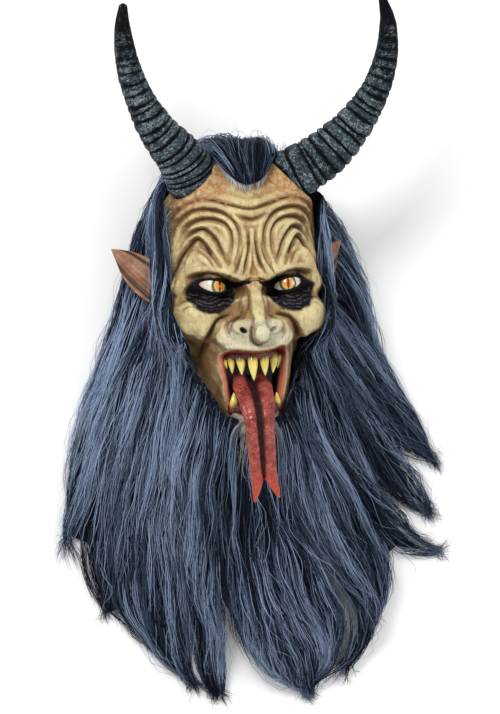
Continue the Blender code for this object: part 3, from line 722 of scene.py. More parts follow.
    def outer_skin(self) -> tuple[Array, Array]:
        """The outer skin on a grid of rows and columns.

        Returns:
            The points, and for each how far it is in a crease, near one, on a small ridge and in a hollow, and a 0.
        """
        s, t = self.share_rows(), self.share_columns()
        shape = s.shape
        start, way = HEAD.rays(s.ravel(), t.ravel())
        skin = start + way * HEAD.reach(start, way)[:, None]
        slope = HEAD.slope(skin)
        u, v, w = skin.T
        ahead = ease(0.1, 0.5, slope[:, 2]) * (w > 0)
        relief, inside, around = self.crease_relief(u, v)
        fine, ring = self.fine_relief(u, v)
        height = (relief + fine) * ahead + 0.45 * lumps(skin, 13, 2) * ease(0, 40, w)
        skin = skin + slope * height[:, None]
        u, v, w = skin.T
        in_front = w > 30
        ball = EYE_CENTRE[2] + np.sqrt(np.maximum(EYE_RADIUS**2 - (np.abs(u) - EYE_CENTRE[0]) ** 2 - v**2, 0))
        edge = self.eye_edge(u, v)
        lid = ease(9, 3, edge) * in_front
        fold = 1.1 * np.exp(-(((edge - 1.6) / 1.1) ** 2)) - 1.2 * np.exp(-(((edge - 4.6) / 1.0) ** 2))
        w = w * (1 - lid) + (ball + self.lid_height + fold) * lid
        over_glass = np.hypot(np.abs(u) - EYE_CENTRE[0], v) < 0.985 * EYE_RADIUS
        w = np.where(over_glass & in_front, np.maximum(w, ball + 0.9), w)
        pit = ease(0.2, -1.4, edge) * in_front
        w = w * (1 - pit) + (ball - 4) * pit
        w = w - self.nostril_depth * self.nostril_share(u, v) * in_front
        edge = self.mouth_edge(u, v)
        w = w + self.lip_height * np.exp(-(((edge - 4) / 3.5) ** 2)) * in_front
        mouth = ease(0.5, -5 - self.lip_slope * self.beside_mouth(u, v), edge) * in_front
        w = w * (1 - mouth) + self.mouth_floor_w * mouth
        skin = np.stack([u, v, w], axis=1).reshape(*shape, 3)
        hollow = self.hollowness(skin, slope.reshape(*shape, 3))
        flat = [value.reshape(shape) for value in (inside * ahead, around * ahead, ring * ahead)]
        return skin, np.stack([*flat, hollow, np.zeros(shape)], axis=2)

    def hollowness(self, skin: Array, slope: Array) -> Array:
        """How far each point lies below its surroundings, in millimetres, or above them where negative."""
        total = np.zeros(skin.shape[:2])
        for reach, weight in ((2, 1.0), (7, 0.42)):
            soft = skin
            for _ in range(2):
                padded = np.pad(soft, ((reach, reach), (0, 0), (0, 0)), mode="edge")
                padded = np.concatenate([padded[:, -reach - 1:-1], padded, padded[:, 1:reach + 1]], axis=1)
                sums = np.pad(padded, ((1, 0), (1, 0), (0, 0))).cumsum(0).cumsum(1)
                wide = 2 * reach + 1
                box = sums[wide:, wide:] - sums[:-wide, wide:] - sums[wide:, :-wide] + sums[:-wide, :-wide]
                soft = box / wide**2
            total += weight * np.sum((soft - skin) * slope, axis=2)
        return total

    def inner_wall(self, skin: Array) -> Array:
        """The plain inside of the hood: the skin drawn in by the wall, clear of the face's hollows."""
        rows, columns = self.inner_rows, self.inner_columns
        pick = np.ix_(np.rint(np.linspace(0, self.rows, rows + 1)).astype(int),
                      np.rint(np.linspace(0, self.columns, columns + 1)).astype(int))
        start, way = HEAD.rays(self.share_rows().ravel(), self.share_columns().ravel())
        far = np.linalg.norm(skin.reshape(-1, 3) - start, axis=1).reshape(skin.shape[:2])
        for _ in range(2):
            far = self.least_nearby(far, 3)
        far = far[pick]
        for _ in range(3):
            far = np.minimum(far, self.mean_nearby(far))
        far[0] = far[0].min()
        far[:, -1] = far[:, 0] = np.minimum(far[:, 0], far[:, -1])
        start, way = start.reshape(*skin.shape)[pick], way.reshape(*skin.shape)[pick]
        inner = start + way * (far - self.wall)[:, :, None]
        neck = int(rows * 0.88)
        below = np.linspace(0, 1, rows - neck + 1)[:, None, None]
        rim = inner[neck][None]
        inner[neck:] = rim * (1 - below) + (rim * (1, 0, 1) + (0, self.neck_v - 30, 0)) * below
        u, v, w = inner[:, :, 0], inner[:, :, 1], inner[:, :, 2]
        behind = ease(16, 6, self.mouth_edge(u, v)) * (w > 0)
        inner[:, :, 2] = np.minimum(w, w * (1 - behind) + (self.mouth_floor_w - self.wall) * behind)
        return inner

    def share_rows(self) -> Array:
        """The share of the way from crown to neck at each point of the skin's grid."""
        share = np.interp(np.linspace(0, 1, self.rows + 1), (0, 0.10, 0.86, 1), (0, 0.13, 0.84, 1))
        return np.repeat(share[:, None], self.columns + 1, axis=1)

    def share_columns(self) -> Array:
        """The share of the way round at each point of the skin's grid."""
        return np.repeat(np.linspace(0, 1, self.columns + 1)[None], self.rows + 1, axis=0)

    def least_nearby(self, values: Array, reach: int) -> Array:
        """The least value within a few places of a grid whose second side closes on itself."""
        for axis, mode in ((0, "edge"), (1, "wrap")):
            pad = [(0, 0), (0, 0)]
            pad[axis] = (reach, reach)
            padded = np.pad(values, pad, mode=mode)
            values = np.lib.stride_tricks.sliding_window_view(padded, 2 * reach + 1, axis=axis).min(axis=2)
        return values

    def mean_nearby(self, values: Array) -> Array:
        """The mean of each place of a grid and its neighbours."""
        padded = np.pad(np.pad(values, ((1, 1), (0, 0)), mode="edge"), ((0, 0), (1, 1)), mode="wrap")
        return np.lib.stride_tricks.sliding_window_view(padded, (3, 3)).mean(axis=(2, 3))

    def shell(self, points: Array, values: Array, names: tuple[str, ...]) -> bmesh.types.BMesh:
        """Bends a grid over points, hands it their values, and cuts it off at the neck."""
        rows, columns = points.shape[0] - 1, points.shape[1] - 1
        bm = bmesh.new()
        layers = [bm.verts.layers.float.new(name) for name in names]
        bmesh.ops.create_grid(bm, x_segments=rows, y_segments=columns, size=0.5)
        shares = np.array([vert.co[:2] for vert in bm.verts]) + 0.5
        row = np.rint(shares[:, 0] * rows).astype(int)
        column = np.rint(shares[:, 1] * columns).astype(int)
        placed = to_frame(points[row, column])
        for index, vert in enumerate(bm.verts):
            vert.co = placed[index]
            for layer, value in zip(layers, values[row[index], column[index]]):
                vert[layer] = value
        bmesh.ops.remove_doubles(bm, verts=bm.verts, dist=0.02 * MM)
        cut = to_frame(np.array([[0, self.neck_v, 0]]))[0]
        bmesh.ops.bisect_plane(bm, geom=bm.verts[:] + bm.edges[:] + bm.faces[:], plane_co=Vector(cut),
                               plane_no=(0, -1, 0), clear_outer=True)
        return bm

    def build(self) -> None:
        """Builds and paints the hood."""
        skin, values = self.outer_skin()
        names = ("crease", "wash_and_shade", "ring", "hollow", "inner")
        bm = self.shell(skin, values, names)
        wall = self.inner_wall(skin)
        plain = np.zeros((*wall.shape[:2], len(names)))
        plain[:, :, -1] = 1.0
        inner = self.shell(wall, plain, names)
        bmesh.ops.reverse_faces(inner, faces=inner.faces)
        merge_into(bm, inner)
        bm.verts.ensure_lookup_table()
        rim = [edge for edge in bm.edges if edge.is_boundary]
        bmesh.ops.bridge_loops(bm, edges=rim)
        bmesh.ops.holes_fill(bm, edges=bm.edges, sides=0)
        bm.normal_update()
        bmesh.ops.recalc_face_normals(bm, faces=bm.faces)
        mesh = mesh_from(bm, "latex_hood_skin")
        self.mark_paint(mesh)
        add_piece("latex_hood_skin", mesh, LatexFinish().material(), "latex", "latex_hood")

    def facing(self, mesh: bpy.types.Mesh) -> tuple[Array, Array]:
        """How far each point of the skin faces forward, and how far up the face."""
        normals = np.zeros(len(mesh.vertices) * 3)
        mesh.vertices.foreach_get("normal", normals)
        normals = normals.reshape(-1, 3)
        return normals[:, 2], normals[:, 1]

    def mark_paint(self, mesh: bpy.types.Mesh) -> None:
        """Gives each point of the hood the shares of the paints that lie there."""
        points = coordinates(mesh)
        u, v, w = points.T
        inner = np.zeros(len(points))
        mesh.attributes["inner"].data.foreach_get("value", inner)
        front = ease(5, 30, w) * (1 - inner)
        mouth = self.mouth_edge(u, v)
        collar = np.linalg.norm(np.stack([np.abs(u), v, w], axis=1) - np.array(HORN_AXIS[0]), axis=1)
        ragged = lumps(points, 16, 3, 4.0)
        warm = ease(66, 38, collar + 9 * ragged) + 0.7 * ease(72, 94, np.abs(u) + 6 * ragged) * ease(-40, 30, v)
        warm = np.maximum(warm, 0.5 * ease(16, 6, np.hypot(u / 1.4, v - 2)))
        muzzle = ease(1.15, 0.7, np.hypot(u / 48, (v + 64 + 3 * ragged) / 24)) * ease(1, 4, mouth)
        side_lip = self.beside_mouth(u, v)
        inward = side_lip * np.where(u < 0, 0.8, 0.25)
        facing, up = self.facing(mesh)
        # Painted shade: the skin darkens where it turns away from the front, on its undersides and over the jaw below
        # the cheeks, but not at the mouth.
        shade = 0.75 * ease(0.80, 0.25, facing) + 0.6 * ease(-0.2, -0.7, up) * ease(0.9, 0.6, facing)
        jaw = ease(30, 46, np.abs(u) + 6 * ragged) * ease(-60, -78, v + 5 * ragged)
        shade = np.maximum(shade, 1.0 * jaw) * ease(1.5, 5, mouth)
        carry(
            mesh,
            socket=self.socket_share(u + 2.6 * ragged, v + 2.6 * lumps(points, 9, 2, 9.0)) * front,
            lip=ease(3.2 + 1.4 * side_lip, 1.2, mouth + 0.8 * ragged) * front,
            shade=np.clip(shade, 0, 1) * front,
            neck=ease(-182, -190, v + 3 * ragged) * (1 - inner),
            side_lip=side_lip * front,
            mouth=ease(-1.6 - 5.0 * inward, -4.5 - 5.5 * inward, mouth) * (w > 30) * (1 - inner),
            warm=np.clip(warm, 0, 1) * front,
            muzzle=muzzle * front,
            chin=ease(-141, -152, v + 4 * ragged) * ease(40, 60, w) * front,
            nostril=self.nostril_share(u, v) * front,
        )


@dataclass(frozen=True)
class LatexFinish:
    """Painted latex: cream and ochre laid on with a dry brush over umber that was washed into every crease. The cream
    on the ridges is also painted highlight, and the brown and umber in the creases and hollows and on the sides
    turned away are also painted shade.
    """

    cream: Colour = (0.60, 0.52, 0.28)
    ochre: Colour = (0.27, 0.165, 0.062)
    tan: Colour = (0.40, 0.285, 0.122)
    mauve: Colour = (0.29, 0.165, 0.115)
    brown: Colour = (0.105, 0.050, 0.018)
    umber: Colour = (0.026, 0.011, 0.005)
    warm: Colour = (0.34, 0.140, 0.052)
    grey: Colour = (0.58, 0.56, 0.41)
    socket: Colour = (0.004, 0.003, 0.004)
    socket_light: Colour = (0.120, 0.095, 0.120)
    lip: Colour = (0.16, 0.014, 0.010)
    salmon: Colour = (0.42, 0.125, 0.075)
    mouth: Colour = (0.004, 0.002, 0.002)
    chin: Colour = (0.23, 0.22, 0.21)
    neck: Colour = (0.010, 0.011, 0.016)
    inside: Colour = (0.40, 0.30, 0.17)

    def skin(self, paint: Paint) -> Signal:
        """The colours of the face before its dark parts are painted."""
        hollow = paint.attribute("hollow")
        blotch, grain, fleck = paint.cloud(34, 4, 0.6), paint.cloud(380, 6, 0.7), paint.cloud(150, 5, 0.68, warp=0.3)
        colour = paint.mix(blotch.step(0.40, 0.60), self.ochre, self.tan)
        colour = paint.mix(paint.cloud(58, 4, 0.6, warp=0.6).step(0.52, 0.66) * 0.6, colour, self.mauve)
        # Cream laid with a dry brush where the skin stands above its surroundings, which is also a painted highlight
        # on the ridges.
        light = (hollow * -0.42 + blotch * 0.7 + fleck * 1.2 + grain * 0.6 - 1.22).step(0.0, 0.46)
        colour = paint.mix(light * (blotch.step(0.40, 0.58) * 0.36 + 0.55), colour, self.cream)
        warmed = paint.attribute("warm") * (blotch * 0.5 + fleck * 0.9 - 0.1).step(0.3, 0.8)
        colour = paint.mix(warmed, colour, self.warm)
        colour = paint.mix(paint.attribute("muzzle") * (fleck * 1.6 - 0.05), colour, self.grey)
        colour = paint.mix((fleck * 1.5 + grain * 0.9 - 1.13).step(0.0, 0.45) * 0.45, colour, self.ochre)
        # Brown round the creases and in the hollows, real paint that is also painted shade; with the shade attribute
        # it is painted shade on the sides, the undersides and the jaw.
        soft = paint.attribute("wash_and_shade") * 0.28 + hollow.step(0.5, 3.4) * 0.45 + paint.attribute("shade") * 0.84
        wash_and_shade = (soft + fleck * 1.5 + grain * 0.6 - 1.12).step(0.0, 0.95)
        colour = paint.mix(wash_and_shade * 0.85, colour, self.brown)
        # Umber in the crease lines and the deepest hollows: the creases' dark paint, and also painted shade.
        deep = paint.attribute("crease") * 0.80 + hollow.step(2.0, 4.6) * 0.7
        return paint.mix((deep + grain * 0.8 - 0.44).step(0.15, 0.95) * 0.88, colour, self.umber)

    def material(self) -> bpy.types.Material:
        """Makes the material."""
        paint = Paint("painted_latex")
        grain = paint.cloud(420, 5, 0.65)
        colour = self.skin(paint)
        specks = paint.cells(430).step(0.17, 0.06) * paint.cloud(60, 2).step(0.48, 0.60)
        colour = paint.mix(specks * 0.7, colour, self.umber)
        hatch = paint.cloud(330, 3, 0.6, paint.stretched((1.0, 0.18, 0.5), (0.0, 0.0, 0.5)))
        colour = paint.mix(hatch.step(0.54, 0.66) * 0.30, colour, self.brown)
        colour = paint.mix(paint.attribute("chin") * 0.8, colour, self.chin)
        # Grey on the tops of the small wrinkles in the sockets: paint that is also painted highlight.
        line = (paint.attribute("ring") * 0.8 + grain * 1.6 - 1.0).step(0.02, 0.55)
        socket = paint.mix(line * 0.7, self.socket, self.socket_light)
        # The sockets' near-black paint, which on the band to the nose root is painted shade.
        colour = paint.mix((paint.attribute("socket") * 1.15).step(0.08, 0.92), colour, socket)
        colour = paint.mix(paint.attribute("nostril"), colour, self.socket)
        colour = paint.mix(paint.attribute("neck"), colour, self.neck)
        lips = paint.mix(paint.attribute("side_lip") * (0.4 + grain * 0.9).step(0.4, 0.9), self.lip, self.salmon)
        colour = paint.mix(paint.attribute("lip"), colour, lips)
        colour = paint.mix(paint.attribute("mouth"), colour, self.mouth)
        colour = paint.mix(paint.attribute("inner"), colour, self.inside)
        rough = 0.47 + grain * 0.16
        gloss = paint.attribute("lip") * 0.5 - paint.attribute("socket") * 0.16 + 0.18
        pores = paint.cells(800) * 0.5 + grain * 0.9 + paint.cloud(1500, 3) * 0.3 + hatch * 0.4
        paint.bump(pores, 0.0006, 0.8)
        return paint.finish(base_color=colour, roughness=rough, specular_ior_level=0.10, coat_weight=gloss,
                            coat_roughness=0.34)


@dataclass
class Ears:
    """The two pointed ears, with a rolled rim in front and a fold inside."""

    base: Point = (87.0, -4.0, -18.0)
    tip: Point = (143.0, 53.0, -58.0)
    sunk: float = 26.0
    width: float = 52.0
    thickness: float = 8.0
    detail: int = 5

    def form(self, side: int) -> tuple[bmesh.types.BMesh, Array]:
        """One ear.

        Args:
            side: 1 for the viewer's right and -1 for the left.

        Returns:
            The mesh, and for each of its points how deep it lies in a fold.
        """
        base, tip = np.array(self.base), np.array(self.tip)
        rise = unit(tip - base)
        out = unit(np.cross(rise, (0.55, 0.1, 0.83)))
        face = np.cross(out, rise)
        length = np.linalg.norm(tip - base) + self.sunk
        bm = bmesh.new()
        bmesh.ops.create_icosphere(bm, subdivisions=self.detail, radius=1)
        x, y, z = np.array([vert.co[:] for vert in bm.verts]).T
        up = 0.5 + 0.5 * y
        half = self.width / 2 * (1 - up) ** 0.55 * (0.62 + 0.75 * up)
        front = ease(-0.2, 0.2, z)
        belly = 9 * (1 - x * x) * np.sin(pi * up) ** 0.8 * (0.75 + 0.25 * front)
        roll = 3.6 * np.exp(-(((x + 0.84) / 0.13) ** 2)) + 1.6 * np.exp(-(((x - 0.88) / 0.09) ** 2))
        folded = 2.6 * np.exp(-(((x - 0.42 + 0.25 * up) / 0.13) ** 2)) * np.sin(pi * up)
        groove = 1.6 * np.exp(-(((x + 0.60) / 0.10) ** 2)) + 1.5 * np.exp(-(((x - 0.68) / 0.10) ** 2))
        deep = z * self.thickness / 2 - belly + front * (roll + folded - groove) * ease(1.0, 0.82, up)
        across = x * half * 1.25
        points = base - self.sunk * rise + rise * (length * up)[:, None]
        points = points + out * across[:, None] + face * deep[:, None]
        for vert, point in zip(bm.verts, to_frame(points * (side, 1, 1))):
            vert.co = point
        if side < 0:
            bmesh.ops.reverse_faces(bm, faces=bm.faces)
        depth = front * (ease(0, 1.4, groove) + 0.35 * (1 - x * x) * ease(0.9, 0.2, up))
        return bm, np.clip(depth, 0, 1)

    def build(self) -> None:
        """Builds and paints both ears."""
        material = EarFinish().material()
        for name, side in (("ear_left", -1), ("ear_right", 1)):
            bm, depth = self.form(side)
            bm.normal_update()
            mesh = mesh_from(bm, name)
            carry(mesh, crease=depth)
            add_piece(name, mesh, material, "latex", "latex_hood")


@dataclass(frozen=True)
class EarFinish:
    """Flushed latex: pink and orange over umber in the folds, the umber partly painted shade."""

    rim: Colour = (0.35, 0.195, 0.105)
    flush: Colour = (0.21, 0.070, 0.028)
    ochre: Colour = (0.23, 0.135, 0.055)
    umber: Colour = (0.022, 0.008, 0.005)

    def material(self) -> bpy.types.Material:
        """Makes the material."""
        paint = Paint("flushed_latex")
        blotch, grain = paint.cloud(70, 4, 0.6), paint.cloud(420, 4, 0.6)
        colour = paint.mix(blotch.step(0.35, 0.65), self.flush, self.rim)
        colour = paint.mix(paint.cloud(45, 3).step(0.5, 0.7) * 0.6, colour, self.ochre)
        # Umber in the folds and low in the middle of the ear: dark paint that is also painted shade.
        wash_and_shade = (paint.attribute("crease") * 1.1 + grain * 0.6 + blotch * 0.5 - 0.48).step(0.0, 0.95)
        colour = paint.mix(wash_and_shade * 0.9, colour, self.umber)
        paint.bump(grain, 0.0004, 0.7)
        return paint.finish(base_color=colour, roughness=0.42 + grain * 0.2, specular_ior_level=0.45)


@dataclass
class Horns:
    """The two curved horns with uneven raised rings that fade out towards a rough tip."""

    rings: int = 20
    ringed_share: float = 0.84
    ring_depth: float = 0.062
    rows: int = 240
    sides: int = 46
    seed: int = 11

    def ring_profile(self, s: Array, angle: Array, rng: np.random.Generator) -> Array:
        """The rings' shape.

        Args:
            s: Shares of the way from root to tip.
            angle: Angles round the horn.
            rng: Where the rings' unevenness comes from.

        Returns:
            How much the horn swells at each place, from -1 to 1.
        """
        edges = np.linspace(0.0, 1.0, self.rings + 1) ** 1.04
        edges[1:-1] += rng.uniform(-0.3, 0.3, self.rings - 1) / self.rings
        edges *= self.ringed_share
        tilt = rng.uniform(-0.008, 0.008, (self.rings + 1, 2))
        turns = rng.uniform(0, 2 * pi, (self.rings + 1, 2))
        swell = np.full_like(s, -0.2)
        heights = rng.uniform(0.75, 1.2, self.rings)
        for k in range(self.rings):
            wave = [tilt[k + e, 0] * np.sin(angle + turns[k + e, 0]) + 0.5 * tilt[k + e, 1] * np.sin(
                2 * angle + turns[k + e, 1]) for e in (0, 1)]
            low, high = edges[k] + wave[0], edges[k + 1] + wave[1]
            x = 2 * (s - low) / np.maximum(high - low, 1e-4) - 1
            on = np.abs(x) <= 1
            band = 1 - np.abs(x) ** 3.2
            notch = 0.28 * np.exp(-(((x - 0.25) / 0.16) ** 2)) * (k % 3 == 1)
            fade = np.interp(edges[k], (0.45 * self.ringed_share, self.ringed_share), (1, 0.15))
            swell[on] = ((2 * band - 1) * heights[k] * fade - notch)[on]
        return swell

    def build(self) -> None:
        """Builds and paints both horns."""
        material = HornFinish().material()
        for name, side, node in (("horn_left_rings", -1, "horn_left"), ("horn_right_rings", 1, "horn_right")):
            rng = np.random.default_rng(self.seed + side)
            path = smooth_curve(HORN_AXIS, self.rows)
            share = np.linspace(0, 1, self.rows)
            path[0] -= HORN_SEAT * 2.0
            path = path * (side, 1, 1)
            path[:, 0] += smooth_curve(tuple((lean,) for lean in HORN_LEAN), self.rows)[:, 0]
            radius = along(HORN_DIAMETERS, share) / 2
            radius *= np.where(share > 0.985, np.sqrt(np.clip((1.0 - share) / 0.015, 0.02, 1)), 1)

            def shape(s: Array, angle: Array, half: Array, rise: Array) -> tuple[Array, Array]:
                swell = self.ring_profile(s, angle, rng)
                rough = np.array([
                    noise.fractal(Vector((np.cos(a) * 2.2, np.sin(a) * 2.2, k * 34.0)), 0.8, 2.2, 4)
                    for a, k in zip(angle * side, s)
                ])
                scale = 1 + self.ring_depth * swell * (1 - 0.45 * s) + 0.028 * rough
                return half * scale, rise * scale

            bm = swept(path, radius, radius, (0.0, 0.0, 1.0), self.sides, shape)
            mesh = mesh_from(bm, name)
            self.mark_paint(mesh, path, share, radius)
            add_piece(name, mesh, material, "horn", node)

    def mark_paint(self, mesh: bpy.types.Mesh, path: Array, share: Array, radius: Array) -> None:
        """Gives each point how far it stands out of the horn, and its place along and round it."""
        points = coordinates(mesh)
        tree = nearest_of(path)
        row = np.array([tree.find(Vector(point))[1] for point in points])
        far = np.linalg.norm(points - path[row], axis=1) / np.maximum(radius[row], 1)
        out = unit(points - path[row])
        carry(mesh, ridge=far - 1.0, way=share[row], round_x=out[:, 2], round_y=out[:, 1])


@dataclass(frozen=True)
class HornFinish:
    """Black latex with silver-blue paint laid on the rings with a dry brush; the rings' lighter tops are also painted
    highlight.
    """

    black: Colour = (0.002, 0.003, 0.004)
    slate: Colour = (0.022, 0.034, 0.042)
    silver: Colour = (0.30, 0.365, 0.41)

    def material(self) -> bpy.types.Material:
        """Makes the material."""
        paint = Paint("brushed_horn")
        ridge = paint.attribute("ridge")
        round_horn = paint.vector(paint.attribute("way") * 330.0, paint.attribute("round_x") * 7.0,
                                  paint.attribute("round_y") * 7.0)
        stroke = paint.cloud(1.0, 5, 0.7, round_horn, 0.4)
        grain = paint.cloud(300, 6, 0.75)
        flakes = paint.cloud(620, 4, 0.75, warp=0.5)
        patch = paint.cloud(45, 2)
        # Slate and silver on the rings' tops, black in their grooves: paint, and on the tops also painted highlight.
        high = (ridge * 14.0 + 0.22).step(0.0, 1.0)
        colour = paint.mix((high * 0.8 + grain * 0.5 - 0.25).step(0.2, 0.8), self.black, self.slate)
        brushed_and_highlit = high * (grain * 0.9 + stroke * 1.1 + flakes * 1.0 + patch * 0.5 - 1.74).step(0.0, 0.26)
        colour = paint.mix(brushed_and_highlit * 0.92, colour, self.silver)
        paint.bump(grain * 0.5 + flakes * 0.6 + stroke * 0.5, 0.0014, 0.9)
        return paint.finish(base_color=colour, roughness=0.42 + grain * 0.35, specular_ior_level=0.05)


@dataclass
class Eyes:
    """The two glass eyes, domed in front and cut off flat behind."""

    iris_radius: float = 9.4
    iris_inset: float = 3.6
    gaze: float = 2.4
    bulge: float = 0.9
    back: float = 0.30

    def build(self) -> None:
        """Builds and paints both eyes."""
        material = EyeFinish().material()
        for name, side, node in (("eye_left_glass", -1, "eye_left"), ("eye_right_glass", 1, "eye_right")):
            bm = bmesh.new()
            bmesh.ops.create_uvsphere(bm, u_segments=64, v_segments=48, radius=EYE_RADIUS)
            centre = EYE_CENTRE * (side, 1, 1)
            for vert in bm.verts:
                off = np.hypot(vert.co.x + side * self.iris_inset - self.gaze, vert.co.y)
                if vert.co.z > 0:
                    vert.co.z += self.bulge * float(np.exp(-((off / 7.5) ** 2)))
                vert.co = to_frame(np.array(vert.co[:]) + centre)
            back = to_frame(centre + (0, 0, self.back * EYE_RADIUS))
            bmesh.ops.bisect_plane(bm, geom=bm.verts[:] + bm.edges[:] + bm.faces[:], plane_co=Vector(back),
                                   plane_no=(0, 0, -1), clear_outer=True)
            close_up(bm)
            mesh = mesh_from(bm, name)
            points = coordinates(mesh) - centre
            x = (points[:, 0] + side * self.iris_inset - self.gaze) * side
            carry(mesh, across=x / self.iris_radius, up=(points[:, 1] - 0.4) / self.iris_radius)
            add_piece(name, mesh, material, "eye", node)


@dataclass(frozen=True)
class EyeFinish:
    """Painted glass: a bloodshot white, a green ring, an amber iris and a red slit."""

    white: Colour = (0.60, 0.60, 0.47)
    blood: Colour = (0.42, 0.03, 0.02)
    green: Colour = (0.030, 0.085, 0.018)
    amber: Colour = (0.66, 0.16, 0.012)
    gold: Colour = (0.68, 0.40, 0.060)
    slit: Colour = (0.085, 0.003, 0.002)

    def material(self) -> bpy.types.Material:
        """Makes the material."""
        paint = Paint("painted_glass")
        x, y = paint.attribute("across"), paint.attribute("up")
        far = (x * x + y * y) ** 0.5
        fibre = paint.cloud(700, 3, 0.6)
        colour = paint.mix((far + fibre * 0.8 - 0.4).step(1.75, 2.7) * 0.8, self.white, self.blood)
        veins = paint.cloud(240, 3, 0.7, warp=1.6)
        thread = (1.0 - paint.maths("ABSOLUTE", veins - 0.5) * 16.0).step(0.2, 1.0) * far.step(1.1, 1.6)
        colour = paint.mix(thread * 0.55, colour, self.blood)
        colour = paint.mix(far.step(1.14, 1.02), colour, self.green)
        colour = paint.mix((far + fibre * 0.3 - 0.15).step(0.86, 0.66), colour, self.gold)
        colour = paint.mix((far + fibre * 0.5 - 0.25).step(0.72, 0.36) * 0.9, colour, self.amber)
        slit = paint.maths("ABSOLUTE", x) * 6.0 + y * y * 1.1
        colour = paint.mix(slit.step(1.15, 0.75), colour, self.slit)
        return paint.finish(base_color=colour, roughness=0.10, specular_ior_level=0.5, coat_weight=1.0,
                            coat_roughness=0.02)


@dataclass
class Teeth:
    """The fangs and their gums, a row above and a row below."""

    upper: tuple = (
        (-32, 12, 8), (-26.5, 18, 8), (-17.5, 20, 10), (-3.5, 27, 11), (11.5, 22, 10), (24, 21, 9.5), (32.5, 17, 8),
    )
    lower: tuple = ((-26.5, 17, 9.5), (27, 15, 10))
    upper_gum_v: float = -83.0
    lower_gum_v: float = -146.0
    gum_radius: float = 5.4
    seed: int = 5

    def gum_w(self, u: float) -> float:
        """How far forward the gum stands at a place across the mouth."""
        return 82 - 0.021 * u * u

    def fang(self, u: float, length: float, width: float, gum_v: float, down: int,
             rng: np.random.Generator) -> bmesh.types.BMesh:
        """One curved, pointed fang, pressed slightly flat and ridged near its root."""
        gum_v = gum_v + corner_rise(u) * (down > 0)
        root = np.array((u, gum_v + down * 2, self.gum_w(u) - 3))
        tip = np.array((u * 0.97 + rng.uniform(-0.8, 0.8), gum_v - down * (length + 3), self.gum_w(u) - 1))
        path = smooth_curve((root, (root + tip) / 2 + (rng.uniform(-0.9, 0.9), 0, 1.8), tip), 15)
        share = np.linspace(0, 1, len(path))
        radii = width / 2 * along((0.90, 1.08, 1.10, 0.98, 0.76, 0.46, 0.08), share)
        return swept(path, radii, radii * 0.85, (1.0, 0.0, 0.0), 16)

    def row(self, name: str, fangs: tuple, gum_v: float, down: int, half: float, node: str) -> None:
        """Builds and paints one row of teeth."""
        rng = np.random.default_rng(self.seed + down)
        count = 49
        across = np.linspace(-half, half, count)
        path = np.stack([across, gum_v + corner_rise(across) * (down > 0), self.gum_w(across) - 4], axis=1)
        scallop = np.zeros(count)
        for u, _, width in fangs:
            scallop += np.exp(-(((across - u) / (0.45 * width)) ** 2))
        thick = self.gum_radius * (0.90 + 0.12 * scallop)
        bm = swept(path, thick * 1.25, thick, (0.0, 1.0, 0.0), 20)
        tooth = [0] * len(bm.verts)
        for u, length, width in fangs:
            made = self.fang(u, length, width, gum_v, down, rng)
            tooth += [1] * len(made.verts)
            merge_into(bm, made)
        mesh = mesh_from(bm, name)
        points = coordinates(mesh)
        near = down * (gum_v + corner_rise(points[:, 0]) * (down > 0) - points[:, 1])
        carry(mesh, tooth=np.array(tooth), reach=near)
        add_piece(name, mesh, ToothFinish().material(), "teeth", node)

    def build(self) -> None:
        """Builds and paints both rows."""
        self.row("upper_fangs", self.upper, self.upper_gum_v, 1, 39.0, "upper_teeth")
        self.row("lower_fangs", self.lower, self.lower_gum_v, -1, 29.0, "lower_teeth")


@dataclass(frozen=True)
class ToothFinish:
    """Glossy yellow fangs, brown at the root, in wet red gums."""

    yellow: Colour = (0.62, 0.46, 0.045)
    pale: Colour = (0.72, 0.64, 0.20)
    brown: Colour = (0.062, 0.026, 0.005)
    gum: Colour = (0.035, 0.003, 0.003)
    gum_light: Colour = (0.17, 0.014, 0.010)

    def material(self) -> bpy.types.Material:
        """Makes the material."""
        paint = Paint("stained_fangs")
        tooth, reach = paint.attribute("tooth"), paint.attribute("reach")
        streak = paint.cloud(260, 4, 0.6, paint.stretched((1.0, 0.25, 1.0)))
        colour = paint.mix((streak + reach * 0.02).step(0.50, 1.05), self.yellow, self.pale)
        colour = paint.mix((reach * -0.12 + streak * 1.6 + 0.34).step(0.0, 1.0) * 0.92, colour, self.brown)
        gum = paint.mix(paint.cloud(300, 3).step(0.42, 0.62), self.gum, self.gum_light)
        colour = paint.mix(tooth.step(0.4, 0.6), gum, colour)
        paint.bump(streak + paint.cloud(700, 3) * 0.4, 0.0005, 0.6)
        return paint.finish(base_color=colour, roughness=0.30 + streak * 0.12, coat_weight=tooth * 0.45 + 0.1,
                            coat_roughness=0.10)


